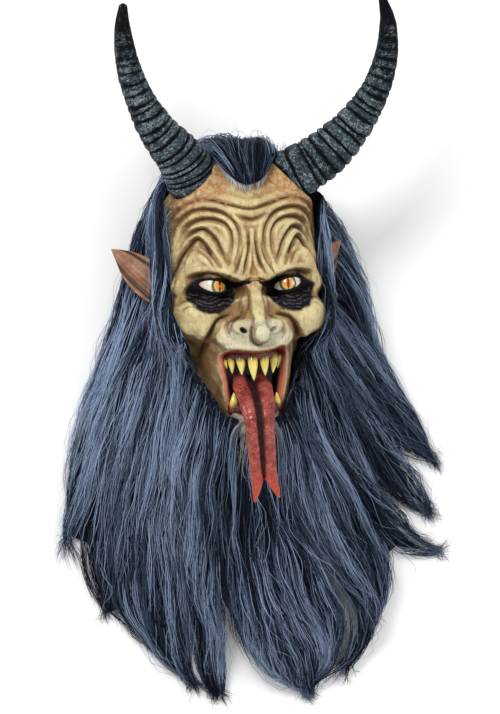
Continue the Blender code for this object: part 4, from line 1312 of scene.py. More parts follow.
@dataclass
class Tongue:
    """The long forked tongue, grooved down the middle."""

    axis: tuple = (
        (-2, -106, 48), (-3, -120, 70), (-3, -138, 90), (-2.5, -158, 98), (-1.5, -190, 100), (-0.3, -231, 99),
    )
    widths: tuple[float, ...] = (38, 48, 43, 37.5, 33, 32)
    tips: tuple = ((-12, -256, 97), (18, -252, 97))
    thickness: float = 10.0
    prong_start: float = 9.0
    rows: int = 110
    sides: int = 56

    def body(self) -> bmesh.types.BMesh:
        """The tongue down to its fork."""
        path = smooth_curve(self.axis, self.rows)
        share = np.linspace(0, 1, self.rows)
        half = along(self.widths, share) / 2
        thick = np.full(self.rows, self.thickness / 2)
        ends = np.sqrt(np.clip((1.0 - share) / 0.03, 0.04, 1))

        def shape(s: Array, angle: Array, wide: Array, high: Array) -> tuple[Array, Array]:
            x = np.cos(angle)
            end = np.interp(s, share, ends)
            wide_groove = 0.22 + 0.14 * ease(0.5, 0.1, s)
            groove = 5.2 * np.exp(-((x / wide_groove) ** 2)) + 0.9 * np.exp(-(((np.abs(x) - 0.66) / 0.12) ** 2))
            wrinkle = 0.35 * np.sin(s * 60 + 3 * x) + 0.25 * np.sin(s * 131 + 7 * x)
            top = np.maximum(np.sin(angle), 0)
            return wide * end, high * end * (1 + 0.25 * np.abs(x)) - (groove + wrinkle) * ease(0.2, 0.7, top)

        return swept(path, half, thick, (1.0, 0.0, 0.0), self.sides, shape)

    def prong(self, tip: Point) -> bmesh.types.BMesh:
        """One end of the fork, its outer edge in line with the tongue's."""
        end = np.array(self.axis[-1], float)
        side = 1 if tip[0] > end[0] else -1
        width = self.widths[-1] / 2
        start = end + (side * 0.48 * width, self.prong_start, 0)
        middle = (start * 0.55 + np.array(tip) * 0.45) + (side * -0.6, 0, 0.5)
        path = smooth_curve((start, middle, np.array(tip, float)), 34)
        radii = width * along((0.50, 0.49, 0.42, 0.33, 0.22, 0.07), np.linspace(0, 1, len(path)))
        return swept(path, radii, radii * 0.62, (1.0, 0.0, 0.0), 28)

    def build(self) -> None:
        """Builds and paints the tongue."""
        bm = self.body()
        for tip in self.tips:
            merge_into(bm, self.prong(tip))
        mesh = mesh_from(bm, "tongue_skin")
        u, v, _ = coordinates(mesh).T
        middle = np.interp(-v, (120, 138, 158, 190, 231), (-3, -3, -2.5, -1.5, -0.5))
        groove = np.exp(-(((u - middle) / np.interp(-v, (110, 231), (6.6, 2.7))) ** 2)) * ease(-238, -222, v)
        carry(mesh, groove=groove, down=ease(-110, -262, v))
        add_piece("tongue_skin", mesh, TongueFinish().material(), "tongue", "tongue")


@dataclass(frozen=True)
class TongueFinish:
    """Wet salmon-red latex, dark down the groove and orange-red at the tips, with pale specks that are painted wet
    highlights; the groove's dark is also painted shade.
    """

    salmon: Colour = (0.42, 0.082, 0.058)
    red: Colour = (0.22, 0.020, 0.014)
    dark: Colour = (0.008, 0.003, 0.005)
    deep: Colour = (0.115, 0.012, 0.012)
    tip: Colour = (0.52, 0.060, 0.030)
    pale: Colour = (0.66, 0.34, 0.28)

    def material(self) -> bpy.types.Material:
        """Makes the material."""
        paint = Paint("wet_tongue")
        blotch, grain = paint.cloud(90, 3), paint.cloud(620, 4, 0.7)
        buds_and_glints = paint.cells(520)
        colour = paint.mix(blotch.step(0.35, 0.65), self.red, self.salmon)
        colour = paint.mix(paint.attribute("down").step(0.72, 1.0), colour, self.tip)
        colour = paint.mix(paint.cloud(210, 5, 0.75).step(0.50, 0.68) * 0.5, colour, self.deep)
        # Pale specks on the raised bumps: painted wet highlights.
        colour = paint.mix(buds_and_glints.step(0.36, 0.10) * grain.step(0.44, 0.58) * 0.85, colour, self.pale)
        # Near-black down the groove: dark paint that is also painted shade in the groove.
        grooved = (paint.attribute("groove") * 1.1 + grain * 0.7 - 0.4).step(0.1, 0.8)
        colour = paint.mix(grooved * 0.95, colour, self.dark)
        paint.bump(buds_and_glints * -1.0 + grain * 0.9, 0.0018, 1.0)
        return paint.finish(base_color=colour, roughness=0.30 + grain * 0.14,
                            specular_ior_level=0.22, coat_weight=0.42 - paint.attribute("groove") * 0.4,
                            coat_roughness=0.2)


@dataclass(frozen=True)
class Lock:
    """A lock of fur: its height at the root, how fast it falls, its width, and its line seen from in front."""

    height: float
    fall: float
    width: float
    plan: tuple

    def path(self, count: int) -> Array:
        """Points down the middle of the lock."""
        flat = smooth_curve(self.plan, count)
        share = np.linspace(0, 1, count)
        low = FLOOR_W + 3
        return np.column_stack([flat, low + (self.height - 3) * (1 - share) ** self.fall])


WIG_LOCKS = (
    Lock(140, 5.0, 44, ((-74, 112), (-93, 74), (-111, -20), (-145, -105), (-174, -170), (-197, -236))),
    Lock(84, 2.6, 50, ((-74, 50), (-98, -20), (-123, -104), (-156, -186), (-184, -250), (-207, -302))),
    Lock(140, 3.2, 50, ((-82, -8), (-102, -70), (-130, -150), (-152, -236), (-170, -320), (-157, -390))),
    Lock(140, 2.7, 50, ((-82, -26), (-98, -116), (-118, -204), (-134, -300), (-134, -366), (-110, -428))),
    Lock(140, 2.4, 48, ((-78, -46), (-86, -150), (-101, -240), (-110, -330), (-100, -402), (-80, -463))),
    Lock(130, 2.4, 44, ((-74, -66), (-73, -170), (-81, -262), (-81, -354), (-72, -428), (-56, -481))),
    Lock(140, 5.0, 44, ((74, 112), (126, 76), (158, 14), (176, -48), (187, -94))),
    Lock(84, 2.2, 46, ((76, 56), (132, 12), (164, -52), (194, -114), (226, -154))),
    Lock(84, 2.2, 46, ((78, 16), (142, -60), (186, -126), (221, -166), (248, -190))),
    Lock(140, 3.0, 50, ((84, -14), (138, -100), (190, -164), (230, -200), (256, -225))),
    Lock(140, 2.6, 52, ((78, -50), (124, -140), (182, -214), (222, -252), (254, -283))),
    Lock(140, 2.3, 52, ((70, -80), (110, -172), (165, -262), (212, -318), (262, -337))),
    Lock(140, 2.2, 50, ((60, -100), (90, -196), (140, -284), (182, -350), (184, -406))),
)
BEARD_LOCKS = (
    Lock(180, 1.5, 42, ((-58, -112), (-66, -180), (-68, -262), (-57, -368), (-44, -440), (-32, -494))),
    Lock(189, 1.5, 42, ((-46, -134), (-48, -200), (-44, -290), (-37, -380), (-28, -440), (-16, -495))),
    Lock(197, 1.4, 42, ((-26, -152), (-28, -220), (-20, -312), (4, -394), (34, -452), (78, -496))),
    Lock(198, 1.4, 44, ((-4, -160), (-6, -240), (8, -336), (36, -412), (64, -464), (90, -498))),
    Lock(198, 1.4, 44, ((8, -158), (14, -240), (38, -336), (76, -404), (94, -450), (94, -486))),
    Lock(197, 1.4, 42, ((18, -156), (28, -240), (62, -334), (108, -394), (120, -446), (98, -492))),
    Lock(189, 1.5, 44, ((38, -140), (56, -216), (100, -306), (146, -372), (156, -424), (136, -474))),
    Lock(180, 1.5, 42, ((54, -116), (78, -190), (124, -270), (164, -338), (174, -384), (168, -422))),
)
# Lines that the fur follows over the crown, down the back and round the sides of the head.
CROWN_LINES = (
    ((0, 112, 92), (0, 140, 76), (0, 170, 40), (0, 184, -10), (0, 170, -66), (0, 120, -108), (0, 40, -116),
     (0, -80, -116)),
    ((-24, 122, 88), (-30, 148, 66), (-38, 168, 24), (-50, 164, -30), (-56, 130, -84), (-60, 60, -112),
     (-60, -60, -116)),
    ((24, 122, 88), (30, 148, 66), (38, 168, 24), (50, 164, -30), (56, 130, -84), (60, 60, -112),
     (60, -60, -116)),
    ((-70, 150, 10), (-92, 110, -10), (-106, 60, -30), (-112, -10, -60)),
    ((70, 150, 10), (92, 110, -10), (108, 60, -30), (124, -10, -60)),
    ((-88, 120, 30), (-98, 70, 30), (-103, 10, 26), (-106, -50, 14)),
    ((88, 120, 30), (100, 70, 30), (106, 10, 26), (116, -50, 14)),
)
HAIRLINE = (
    (0, 117), (-14, 121), (-24, 132), (-32, 152), (-60, 168), (-86, 132), (-83, 100), (-87, 60), (-93, 0),
    (-97, -26), (-84, -66), (-62, -103), (-46, -134), (-38, -152), (0, -163), (36, -152), (44, -130),
    (60, -103), (82, -66), (97, -26), (94, 0), (94, 60), (97, 100), (97, 130), (60, 168), (34, 150),
    (24, 132), (14, 121),
)


@dataclass
class Tuft:
    """Strands that are waiting to be made: their lines, thicknesses and shades."""

    lines: Array
    widths: Array
    shade: Array
    white: Array
    brown: Array


@dataclass
class Fur:
    """The wig and the beard: a dense dark underlayer with thousands of strands combed over it."""

    steps: int = 11
    strand_sides: int = 3
    wig_strands: int = 5950
    beard_strands: int = 2250
    fringe_strands: int = 570
    chin_strands: int = 320
    wild_share: float = 0.10
    sunk: float = 1.2
    drawn_in: float = 0.86
    lock_rise: float = 7.0
    run_past: float = 38.0
    seed: int = 23
    guides: Array = field(default_factory=lambda: np.zeros((0, 3)))
    ways: Array = field(default_factory=lambda: np.zeros((0, 3)))
    marks: Array = field(default_factory=lambda: np.zeros((0, 3)))

    def __post_init__(self) -> None:
        """Lays out the lines that the fur follows."""
        lines = [lock.path(26) for lock in WIG_LOCKS + BEARD_LOCKS]
        lines += [smooth_curve(line, 22) for line in CROWN_LINES]
        self.guides = np.vstack(lines)
        self.ways = np.vstack([unit(np.gradient(line, axis=0)) for line in lines])
        for number, line in enumerate(lines):
            gone = np.concatenate([[0], np.linalg.norm(np.diff(line, axis=0), axis=1).cumsum()])
            end = np.linspace(0, 1, len(line)) * (number < len(WIG_LOCKS + BEARD_LOCKS))
            self.marks = np.vstack([self.marks, np.column_stack([np.full(len(line), number), gone, end])])

    def drift(self, points: Array) -> Array:
        """A slow wandering of the fur's direction from place to place."""
        wander = np.zeros_like(points)
        for size, weight in ((61.0, 1.0), (37.0, 0.7)):
            for axis, turn in enumerate(((1.0, 0.7, 0.4), (0.5, 1.0, 0.8), (0.8, 0.4, 1.0))):
                wander[:, axis] += weight * np.sin(points @ np.array(turn) / size * 2 * pi / 1.6 + 2.1 * axis + size)
        return wander * (0.17, 0.10, 0.10)

    def flow(self, points: Array) -> Array:
        """The direction that the fur runs in at each point."""
        far = np.sum((points[:, None, :] - self.guides[None]) ** 2, axis=2)
        weight = 1 / (far + 60.0) ** 2
        return unit(unit(weight @ self.ways) + self.drift(points))

    def underlayer(self, node: str) -> tuple[bpy.types.Mesh, Array, Array]:
        """The dense fur under the strands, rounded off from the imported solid.

        Args:
            node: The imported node.

        Returns:
            The mesh, its points in millimetres and its triangles.
        """
        bm = bmesh.new()
        bm.from_mesh(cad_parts[node].data)
        bmesh.ops.remove_doubles(bm, verts=bm.verts, dist=0.02 * MM)
        carrier = bpy.data.objects.new(f"{node}_carrier", mesh_from(bm, f"{node}_under"))
        bpy.context.scene.collection.objects.link(carrier)
        step = carrier.modifiers.new("round", "SUBSURF")
        step.levels = step.render_levels = 2
        made = apply_modifiers(carrier)
        bpy.data.objects.remove(carrier)
        made.calc_loop_triangles()
        return made, coordinates(made), np.array([tri.vertices[:] for tri in made.loop_triangles])

    def ground(self, layers: list[tuple[Array, Array]], with_head: bool = True) -> BVHTree:
        """A tree of what the strands lie on.

        Args:
            layers: The points and triangles of the underlayers.
            with_head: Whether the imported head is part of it.

        Returns:
            The tree, in millimetres.
        """
        if with_head:
            bm = bmesh.new()
            bm.from_mesh(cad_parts["latex_hood"].data)
            bmesh.ops.triangulate(bm, faces=bm.faces)
            corners = np.array([[vert.index for vert in face.verts] for face in bm.faces])
            layers = layers + [(to_head([vert.co[:] for vert in bm.verts]), corners)]
            bm.free()
        points, corners, count = [], [], 0
        for some, triangles in layers:
            points.append(some)
            corners.append(triangles + count)
            count += len(some)
        return BVHTree.FromPolygons([Vector(p) for p in np.vstack(points)], np.vstack(corners).tolist())

    def seeds(self, points: Array, corners: Array, count: int, rng: np.random.Generator) -> tuple[Array, Array]:
        """Places for strands to start, spread over a mesh, few of them underneath."""
        a, b, c = points[corners[:, 0]], points[corners[:, 1]], points[corners[:, 2]]
        normal = np.cross(b - a, c - a)
        area = np.linalg.norm(normal, axis=1) / 2
        normal = unit(normal)
        middle = (a + b + c) / 3
        weight = area * np.where(normal[:, 2] < -0.25, 0.12, 1.0)
        weight *= np.where(HEAD.distance(middle) < 7.0, 0.05, 1.0)
        weight *= np.where(middle[:, 2] < FLOOR_W + 2.0, 0.02, 1.0)
        weight *= 1 + 1.0 * ease(60, 120, middle[:, 1]) * (normal[:, 2] > -0.2)
        chosen = rng.choice(len(corners), count, p=weight / weight.sum())
        r1, r2 = np.sqrt(rng.random(count)), rng.random(count)
        spot = (1 - r1)[:, None] * a[chosen] + (r1 * (1 - r2))[:, None] * b[chosen] + (r1 * r2)[:, None] * c[chosen]
        return spot, normal[chosen]

    def comb(self, spots: Array, normals: Array, lengths: Array, tree: BVHTree, lifts: Array,
             rng: np.random.Generator) -> Array:
        """Runs lines over the ground in the fur's direction.

        Args:
            spots: Where the strands start.
            normals: The directions out of the surface there.
            lengths: The strands' lengths.
            tree: The ground.
            lifts: How far each strand stands off the surface.
            rng: Where the loose ends' unevenness comes from.

        Returns:
            One line of points for each strand.
        """
        lines = np.zeros((len(spots), self.steps, 3))
        stride = (lengths / (self.steps - 1))[:, None]
        at, out = spots.copy(), normals.copy()
        free = np.zeros(len(spots), bool)
        over = rng.uniform(0.15, 1.0, (len(spots), 1)) ** 1.8 * self.run_past + 1.5
        stray = rng.normal(0, 0.38, (len(spots), 3)) * (1, 1, 0.3)
        last = self.flow(at)
        for k in range(self.steps):
            lines[:, k] = at + out * (lifts * min(1, 0.15 + 0.3 * k))[:, None]
            way = self.flow(at)
            way = unit(0.65 * way + 0.35 * last)
            flat = unit(way - out * np.sum(way * out, axis=1)[:, None])
            way = np.where(free[:, None], unit(way + stray), flat)
            last = way
            following = at + way * stride
            for i in np.where(~free)[0]:
                spot, normal, _, _ = tree.find_nearest(Vector(following[i]))
                moved = np.array(spot) - at[i]
                if moved @ way[i] < 0.55 * stride[i, 0]:
                    free[i] = True
                    stride[i] = over[i] / (self.steps - k)
                    continue
                following[i] = spot
                out[i] = normal
            following[free] = (at + way * stride)[free]
            following[:, 2] = np.maximum(following[:, 2], FLOOR_W + 0.8)
            at = following
        for _ in range(2):
            lines[:, 1:-1] = 0.5 * lines[:, 1:-1] + 0.25 * (lines[:, :-2] + lines[:, 2:])
        return lines

    def leaders(self, lines: Array, share: float, rng: np.random.Generator) -> tuple[Array, Array]:
        """Chooses some strands to lead their neighbours.

        Args:
            lines: All strands.
            share: The share of strands that lead.
            rng: Where the choice comes from.

        Returns:
            Each strand's leader, and how far away that starts.
        """
        count = len(lines)
        chosen = rng.choice(count, max(1, int(count * share)), replace=False)
        tree = nearest_of(lines[chosen, 2])
        own = np.array([chosen[tree.find(Vector(line[2]))[1]] for line in lines])
        return own, np.linalg.norm(lines[own, 2] - lines[:, 2], axis=1)

    def style(self, lines: Array, rng: np.random.Generator, wild: Array, curl: float) -> tuple[Array, Array]:
        """Draws strands together into wavy locks and roughens them.

        Args:
            lines: The combed strands.
            rng: Where the unevenness comes from.
            wild: Which strands stray.
            curl: The waves' size in millimetres.

        Returns:
            The strands, and each strand's lock as a number.
        """
        count = len(lines)
        share = np.linspace(0, 1, self.steps)[None, :, None]
        lock, away = self.leaders(lines, 0.035, rng)
        wisp, near = self.leaders(lines, 0.16, rng)
        base = lines.copy()
        pull = 0.34 * ease(34, 10, away)[:, None, None] * rng.uniform(0.6, 1.0, (count, 1, 1))
        lines = lines + (base[lock] - base) * share**1.3 * pull
        pull = 0.46 * ease(20, 5, near)[:, None, None] * rng.uniform(0.5, 1.0, (count, 1, 1))
        lines = lines + (lines[wisp] - lines) * share**1.2 * pull
        length = np.linalg.norm(np.diff(base, axis=1), axis=2).sum(axis=1)
        wave = np.zeros_like(lines)
        for pace, weight, same in ((98.0, 1.7, lock), (64.0, 0.5, wisp)):
            phase = rng.uniform(0, 2 * pi, (count, 1, 3))[same] + rng.normal(0, 0.55, (count, 1, 3))
            turns = (length / pace * rng.uniform(0.8, 1.2, count)[same])[:, None, None]
            wave += weight * (np.sin(share * turns * 2 * pi + phase) - np.sin(phase))
        wave[:, :, 2] = np.abs(wave[:, :, 2]) * 0.8
        size = curl * rng.uniform(0.5, 1.2, count)[lock] * np.where(wild, 2.2, 1.0)
        lines = lines + wave * size[:, None, None] * np.minimum(1, 1.6 * share)
        rough = rng.normal(0, 1, lines.shape) * np.where(wild, 0.7, 0.16)[:, None, None] * np.minimum(1, 2 * share)
        lines = lines + rough
        raised = (rng.random(count) ** 2 * self.lock_rise)[lock]
        lines[:, :, 2] += raised[:, None] * np.sin(pi * np.clip(share[:, :, 0] * 1.15, 0, 1)) ** 0.7
        lines[:, :, 2] = np.maximum(lines[:, :, 2], FLOOR_W + 0.8)
        low, high = to_head(CAD_BOX)
        for axis, most in ((0, 20.0), (1, 28.0)):
            past = lines[:, :, axis] - np.clip(lines[:, :, axis], low[axis], high[axis])
            lines[:, :, axis] += most * np.tanh(past / most) - past
        return lines, lock

    def shades(self, lines: Array, lock: Array, lifts: Array, rng: np.random.Generator) -> Array:
        """How light each strand is, from 0 to 1: alike within a lock, lighter left of the face, darker to its right,
        at the crown and at the ends, and darker deep down and close to the head as painted shade.
        """
        count = len(lines)
        middle = lines[:, self.steps // 2]
        tone = rng.normal(0, 1, count)[lock]
        lay, _, end = self.lay_of(middle)
        band = lumps(lay * (1, 1, 2.5), 15, 2, 3.0)
        band = (band - band.mean()) / max(float(band.std()), 1e-6)
        # Strands that lie lower in the fur come out darker: painted shade.
        shade = 0.55 + 0.13 * tone + 0.28 * band + 0.11 * rng.standard_normal(count) + 0.07 * (lifts - 1.4)
        shade += 0.18 * ease(-25, -75, middle[:, 0]) * ease(-320, -160, middle[:, 1]) * ease(50, -50, middle[:, 1])
        shade -= 0.04 * ease(30, 110, middle[:, 0]) + 0.20 * ease(0.55, 1.0, end)
        # Darker at the crown, and darker near the head beside the face as painted shade.
        shade -= 0.10 * ease(60, 130, middle[:, 1]) + 0.16 * ease(24, 5, HEAD.distance(lines[:, 3]))
        return np.clip(shade, 0, 1)

    def panel(self, count: int, rng: np.random.Generator, tree: BVHTree, points: Array, corners: Array) -> Tuft:
        """The strands over one panel of fur."""
        spots, normals = self.seeds(points, corners, count, rng)
        lengths = rng.uniform(100, 220, count) * np.where(spots[:, 1] > 100, 0.8, 1.0)
        wild = rng.random(count) < self.wild_share
        lifts = np.where(wild, rng.uniform(2.5, 6.5, count), rng.uniform(0.15, 2.4, count) ** 1.2)
        lines = self.comb(spots, normals, lengths, tree, lifts, rng)
        lines, lock = self.style(lines, rng, wild, 1.9)
        widths = rng.uniform(0.28, 0.60, count) * np.where(wild, 0.6, 1.0)
        return Tuft(lines, widths, self.shades(lines, lock, lifts, rng), np.zeros(count), np.zeros(count))

    def rooted(self, places: Array, lengths: Array, rng: np.random.Generator, tree: BVHTree, lift: float) -> Tuft:
        """Fine strands from places on the skin, seen from in front, back over the fur."""
        root = np.column_stack([places, HEAD.skin_over(places[:, 0], places[:, 1])])
        keep = root[:, 2] > -20
        root, lengths = root[keep], lengths[keep]
        count = len(root)
        ahead = root + self.flow(root) * 8
        found = [tree.find_nearest(Vector(point)) for point in ahead]
        spots = np.array([hit[0][:] for hit in found])
        normals = np.array([hit[1][:] for hit in found])
        peak = (np.abs(root[:, 0]) < 36) * (root[:, 1] > 100)
        lengths = lengths * np.where(peak, 0.55, 1.0)
        lifts = rng.uniform(0.4, lift, count) + 2.2 * peak
        lines = self.comb(spots, normals, lengths, tree, lifts, rng)
        lines[:, 0] = root - HEAD.slope(root) * 0.5
        lines[:, 1] = root * 0.45 + lines[:, 1] * 0.55 + HEAD.slope(root) * 2.0
        lines, lock = self.style(lines, rng, rng.random(count) < 0.12, 1.0)
        lines[:, 0] = root - HEAD.slope(root) * 0.5
        shade = self.shades(lines, lock, lifts, rng)
        return Tuft(lines, rng.uniform(0.26, 0.46, count), shade, np.zeros(count), np.zeros(count))

    def fringe(self, node: str, rng: np.random.Generator, tree: BVHTree) -> Tuft:
        """Fine strands from the skin at the hairline, and for the beard from the chin and the neck too."""
        outline = even_curve(np.array(HAIRLINE + HAIRLINE[:1], float), 1600)
        beard = node == "beard"
        places = outline[outline[:, 1] < -96] if beard else outline[outline[:, 1] > -104]
        count = self.fringe_strands if beard else 2 * self.fringe_strands
        crowd = 1 + 2.5 * (np.abs(places[:, 0]) < 32) * (places[:, 1] > 100)
        pick = places[rng.choice(len(places), count, p=crowd / crowd.sum())]
        inward = unit(np.array((0.0, -20.0)) - pick)
        reach = np.where(np.abs(pick[:, :1]) + 1000 * (pick[:, 1:] < 100) < 32, 13, 4)
        spiky = 0.35 + 0.65 * np.abs(np.sin(0.55 * pick[:, :1]))
        pick = pick + inward * rng.uniform(-30 if beard else -7, reach * spiky, (count, 1))
        pick = pick + rng.normal(0, 0.8, (count, 2))
        tuft = self.rooted(pick, rng.uniform(60, 150, count), rng, tree, 3.2)
        root = tuft.lines[:, 0]
        peak = ease(34, 14, np.abs(root[:, 0])) * ease(100, 112, root[:, 1])
        side = 0.10 * (np.abs(root[:, 0]) > 80) * (root[:, 1] > -100)
        tuft.white = np.clip(np.maximum(peak, side), 0, 1)
        return tuft

    def bristles(self, rng: np.random.Generator, tree: BVHTree) -> Tuft:
        """Short grey-brown hairs on the chin."""
        count = self.chin_strands
        angle, far = rng.uniform(0, 2 * pi, count), np.sqrt(rng.random(count))
        places = np.stack([3 + 36 * far * np.cos(angle), -170 + 14 * far * np.sin(angle)], axis=1)
        tuft = self.rooted(places, rng.uniform(30, 75, count), rng, tree, 2.6)
        tuft.brown = np.full(len(tuft.lines), 1.0)
        return tuft

    def strand_block(self, count: int) -> tuple[bpy.types.Mesh, Array, Array]:
        """Straight strands in a row, repeated from one.

        Args:
            count: How many strands.

        Returns:
            The mesh, and the row and the angle of each point of one strand.
        """
        bm = bmesh.new()
        bmesh.ops.create_grid(bm, x_segments=self.steps - 1, y_segments=self.strand_sides, size=0.5)
        for vert in bm.verts:
            angle = 2 * pi * (vert.co.y + 0.5)
            vert.co = Vector((vert.co.x, 0.2 * cos(angle), 0.2 * sin(angle)))
        bmesh.ops.remove_doubles(bm, verts=bm.verts, dist=1e-4)
        close_up(bm)
        bmesh.ops.triangulate(bm, faces=bm.faces)
        base = np.array([vert.co[:] for vert in bm.verts])
        carrier = bpy.data.objects.new("strand_carrier", mesh_from(bm, "strand"))
        bpy.context.scene.collection.objects.link(carrier)
        step = carrier.modifiers.new("repeat", "ARRAY")
        step.count = count
        step.use_relative_offset = False
        step.use_constant_offset = True
        step.constant_offset_displace = (0.0, 1.0, 0.0)
        made = apply_modifiers(carrier)
        bpy.data.objects.remove(carrier)
        row = np.rint((base[:, 0] + 0.5) * (self.steps - 1)).astype(int)
        return made, row, np.arctan2(base[:, 2], base[:, 1])

    def strands(self, name: str, tuft: Tuft, material: bpy.types.Material, node: str) -> None:
        """Makes one piece of strands."""
        count = len(tuft.lines)
        mesh, row, angle = self.strand_block(count)
        lines = tuft.lines
        tangent = unit(np.gradient(lines, axis=1))
        side = unit(np.cross(tangent, (0.05, 0.02, 1.0)))
        rise = np.cross(side, tangent)
        share = np.linspace(0, 1, self.steps)
        taper = np.clip(1.02 - share**2.2, 0.0, 1) ** 0.7 * np.clip(0.35 + 5 * share, 0, 1)
        radius = tuft.widths[:, None] * np.maximum(taper, 0.12)[None]
        placed = lines[:, row]
        placed = placed + side[:, row] * (np.cos(angle)[None] * radius[:, row])[:, :, None]
        placed = placed + rise[:, row] * (np.sin(angle)[None] * radius[:, row] * 0.8)[:, :, None]
        flat = to_frame(placed.reshape(-1, 3))
        flat[:, 2] = np.maximum(flat[:, 2], 0.0002)
        mesh.vertices.foreach_set("co", flat.ravel())
        mesh.update()
        each = len(row)
        carry(mesh, shade=np.repeat(tuft.shade, each), white=np.repeat(tuft.white, each),
              brown=np.repeat(tuft.brown, each), down=np.tile(share[row], count))
        add_piece(name, mesh, material, "fur", node)

    def build(self) -> None:
        """Builds the underlayer and the strands of both panels."""
        rng = np.random.default_rng(self.seed)
        under, over = UnderFurFinish().material(), StrandFinish().material()
        layers = {node: self.underlayer(node) for node in ("hair", "beard")}
        tree = self.ground([layer[1:] for layer in layers.values()])
        onto = {node: self.ground([layers[node][1:]], with_head=False) for node in layers}
        for node, count, blocks in (("hair", self.wig_strands, 3), ("beard", self.beard_strands, 1)):
            mesh, points, corners = layers[node]
            tuft = self.panel(count, rng, tree, points, corners)
            self.thin(mesh, points)
            add_piece(f"{node}_underlayer", mesh, under, "fur", node)
            order = np.argsort(tuft.lines[:, 0, 0], kind="stable")
            for block, part in enumerate(np.array_split(order, blocks)):
                one = Tuft(tuft.lines[part], tuft.widths[part], tuft.shade[part], tuft.white[part], tuft.brown[part])
                self.strands(f"{node}_strands_{block + 1}", one, over, node)
            self.strands(f"{node}_fringe", self.fringe(node, rng, onto[node]), over, node)
        self.strands("chin_bristles", self.bristles(rng, onto["beard"]), over, "beard")

    def lay_of(self, points: Array) -> tuple[Array, Array, Array]:
        """Where points lie in the nearest lock.

        Args:
            points: The points.

        Returns:
            Their place across, through and along the lock, their offset from its middle, and the share of its length.
        """
        tree = nearest_of(self.guides)
        near = np.array([tree.find(Vector(point))[1] for point in points])
        number, gone, end = self.marks[near].T
        off, way = points - self.guides[near], self.ways[near]
        side = unit(np.cross(way, (0.02, 0.03, 1.0)))
        across, through = np.sum(off * side, axis=1), np.sum(off * np.cross(side, way), axis=1)
        lay = np.stack([across + 41.7 * number, through, 0.05 * (gone + np.sum(off * way, axis=1))], axis=1)
        return lay, off, end

    def thin(self, mesh: bpy.types.Mesh, points: Array) -> None:
        """Draws the underlayer in, most at the locks' ends, and marks where each point lies in its lock."""
        lay, off, end = self.lay_of(points)
        carry(mesh, lay_x=lay[:, 0], lay_y=lay[:, 1], lay_z=lay[:, 2])
        normals = np.zeros(len(points) * 3)
        mesh.vertices.foreach_get("normal", normals)
        normals = normals.reshape(-1, 3)
        sunk = self.sunk * ease(0.5, 12.0, points[:, 2] - FLOOR_W)
        drawn = self.drawn_in * ease(0.50, 0.95, end)
        moved = points - normals * sunk[:, None] - off * drawn[:, None]
        moved[:, 2] = np.maximum(moved[:, 2], FLOOR_W)
        mesh.vertices.foreach_set("co", to_frame(moved).ravel())
        mesh.update()


@dataclass(frozen=True)
class UnderFurFinish:
    """Dense dark fur, streaked along its length, its near-black painted as the shade deep in the fur between the
    strands.
    """

    dark: Colour = (0.003, 0.004, 0.008)
    slate: Colour = (0.030, 0.040, 0.066)
    steel: Colour = (0.130, 0.165, 0.250)

    def material(self) -> bpy.types.Material:
        """Makes the material."""
        paint = Paint("under_fur")
        lay = paint.vector(paint.attribute("lay_x"), paint.attribute("lay_y"), paint.attribute("lay_z"))
        streak, strip = paint.cloud(0.95, 4, 0.6, lay), paint.cloud(0.16, 3, 0.6, lay)
        # Near-black with slate and steel streaks: the near-black is painted shade under and between the strands.
        colour = paint.mix((streak * 1.1 + strip * 0.6 - 0.85).step(-0.06, 0.22), self.dark, self.slate)
        colour = paint.mix((streak * 1.2 + strip * 0.9 - 1.05).step(0.10, 0.32) * 0.8, colour, self.steel)
        paint.bump(streak + strip * 0.8, 0.0030, 1.0)
        return paint.finish(base_color=colour, roughness=0.75 + streak * 0.1, specular_ior_level=0.04)


@dataclass(frozen=True)
class StrandFinish:
    """Synthetic fur in navy, slate and steel blue, whitish at the front hairline."""

    navy: Colour = (0.005, 0.007, 0.016)
    slate: Colour = (0.052, 0.074, 0.120)
    steel: Colour = (0.290, 0.375, 0.540)
    white: Colour = (0.70, 0.72, 0.74)
    brown: Colour = (0.34, 0.32, 0.31)

    def material(self) -> bpy.types.Material:
        """Makes the material."""
        paint = Paint("fur_strands")
        shade, down = paint.attribute("shade"), paint.attribute("down")
        # The shade attribute takes each strand from navy to steel blue; its darkening deep down and near the head is
        # painted shade.
        colour = paint.mix(shade.step(0.05, 0.55), self.navy, self.slate)
        colour = paint.mix(shade.step(0.46, 0.98), colour, self.steel)
        colour = paint.mix(paint.attribute("brown") * down.step(0.9, 0.2) * 0.8, colour, self.brown)
        root = paint.attribute("white") * down.step(0.42, 0.08)
        colour = paint.mix(root, colour, self.white)
        return paint.finish(base_color=colour, roughness=0.42 + shade * 0.1, specular_ior_level=0.07)


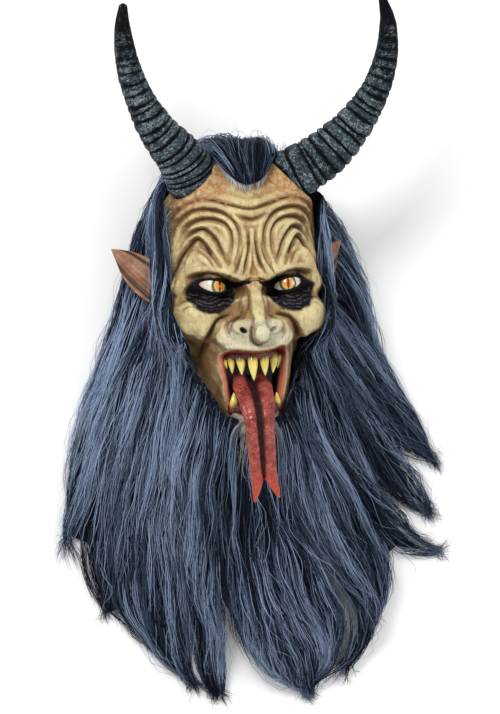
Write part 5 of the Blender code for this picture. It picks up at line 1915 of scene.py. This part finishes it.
@dataclass
class Studio:
    """A pale floor, soft lights and the camera."""

    distance: float = 5.0
    yaw: float = 12.0
    roll: float = -2.5
    height: float = 0.857
    target: Point = (-0.0166, -0.0074, 0.12)

    def build(self) -> None:
        """Lays the floor, hangs the lights and sets up the camera."""
        self.floor()
        self.light("key", (-1.1, 1.3, 2.0), 0.7, 46)
        self.light("fill", (1.9, 0.2, 1.8), 1.4, 13)
        self.light("low", (0.3, -2.0, 1.5), 1.6, 10)
        bpy.context.scene.view_settings.view_transform = "Standard"
        world = bpy.data.worlds.new("studio")
        world.use_nodes = True
        back = world.node_tree.nodes["Background"]
        back.inputs["Color"].default_value = (1.0, 1.0, 1.0, 1.0)
        back.inputs["Strength"].default_value = 0.66
        bpy.context.scene.world = world
        self.camera()

    def floor(self) -> None:
        """A pale floor under the mask."""
        bm = bmesh.new()
        bmesh.ops.create_grid(bm, x_segments=1, y_segments=1, size=6.0)
        bmesh.ops.translate(bm, verts=bm.verts, vec=(0, 0, -0.0004))
        mesh = mesh_from(bm, "floor")
        paint = Paint("pale_floor")
        mesh.materials.append(paint.finish(base_color=(0.90, 0.90, 0.90), roughness=0.9))
        made = bpy.data.objects.new("floor", mesh)
        bpy.context.scene.collection.objects.link(made)

    def light(self, name: str, place: Point, size: float, power: float) -> None:
        """One soft light that shines on the mask."""
        lamp = bpy.data.lights.new(name, "AREA")
        lamp.size = size
        lamp.energy = power
        made = bpy.data.objects.new(name, lamp)
        made.location = place
        made.rotation_euler = (Vector(self.target) - Vector(place)).to_track_quat("-Z", "Y").to_euler()
        bpy.context.scene.collection.objects.link(made)

    def camera(self) -> None:
        """The camera, looking straight at the face of the lying mask from slightly to one side."""
        lens = bpy.data.cameras.new("camera")
        lens.sensor_width = 24.0
        lens.lens = lens.sensor_width * self.distance / self.height
        lens.clip_end = 50.0
        made = bpy.data.objects.new("camera", lens)
        yaw = radians(self.yaw)
        back = Vector((-sin(yaw), 0.0, cos(yaw)))
        right = Vector((0.0, 1.0, 0.0)).cross(back).normalized()
        turn = Matrix((right, back.cross(right), back)).transposed() @ Matrix.Rotation(radians(self.roll), 3, "Z")
        made.location = Vector(self.target) + back * self.distance
        made.rotation_euler = turn.to_euler()
        bpy.context.scene.collection.objects.link(made)
        bpy.context.scene.camera = made


def main() -> None:
    """Builds the studio and every piece of the mask."""
    logging.basicConfig(level=logging.INFO, format="%(name)s: %(message)s")
    for part in (Studio(), LatexHood(), Ears(), Horns(), Eyes(), Teeth(), Tongue(), Fur()):
        LOG.info("building %s", type(part).__name__)
        part.build()


if __name__ == "__main__":
    main()
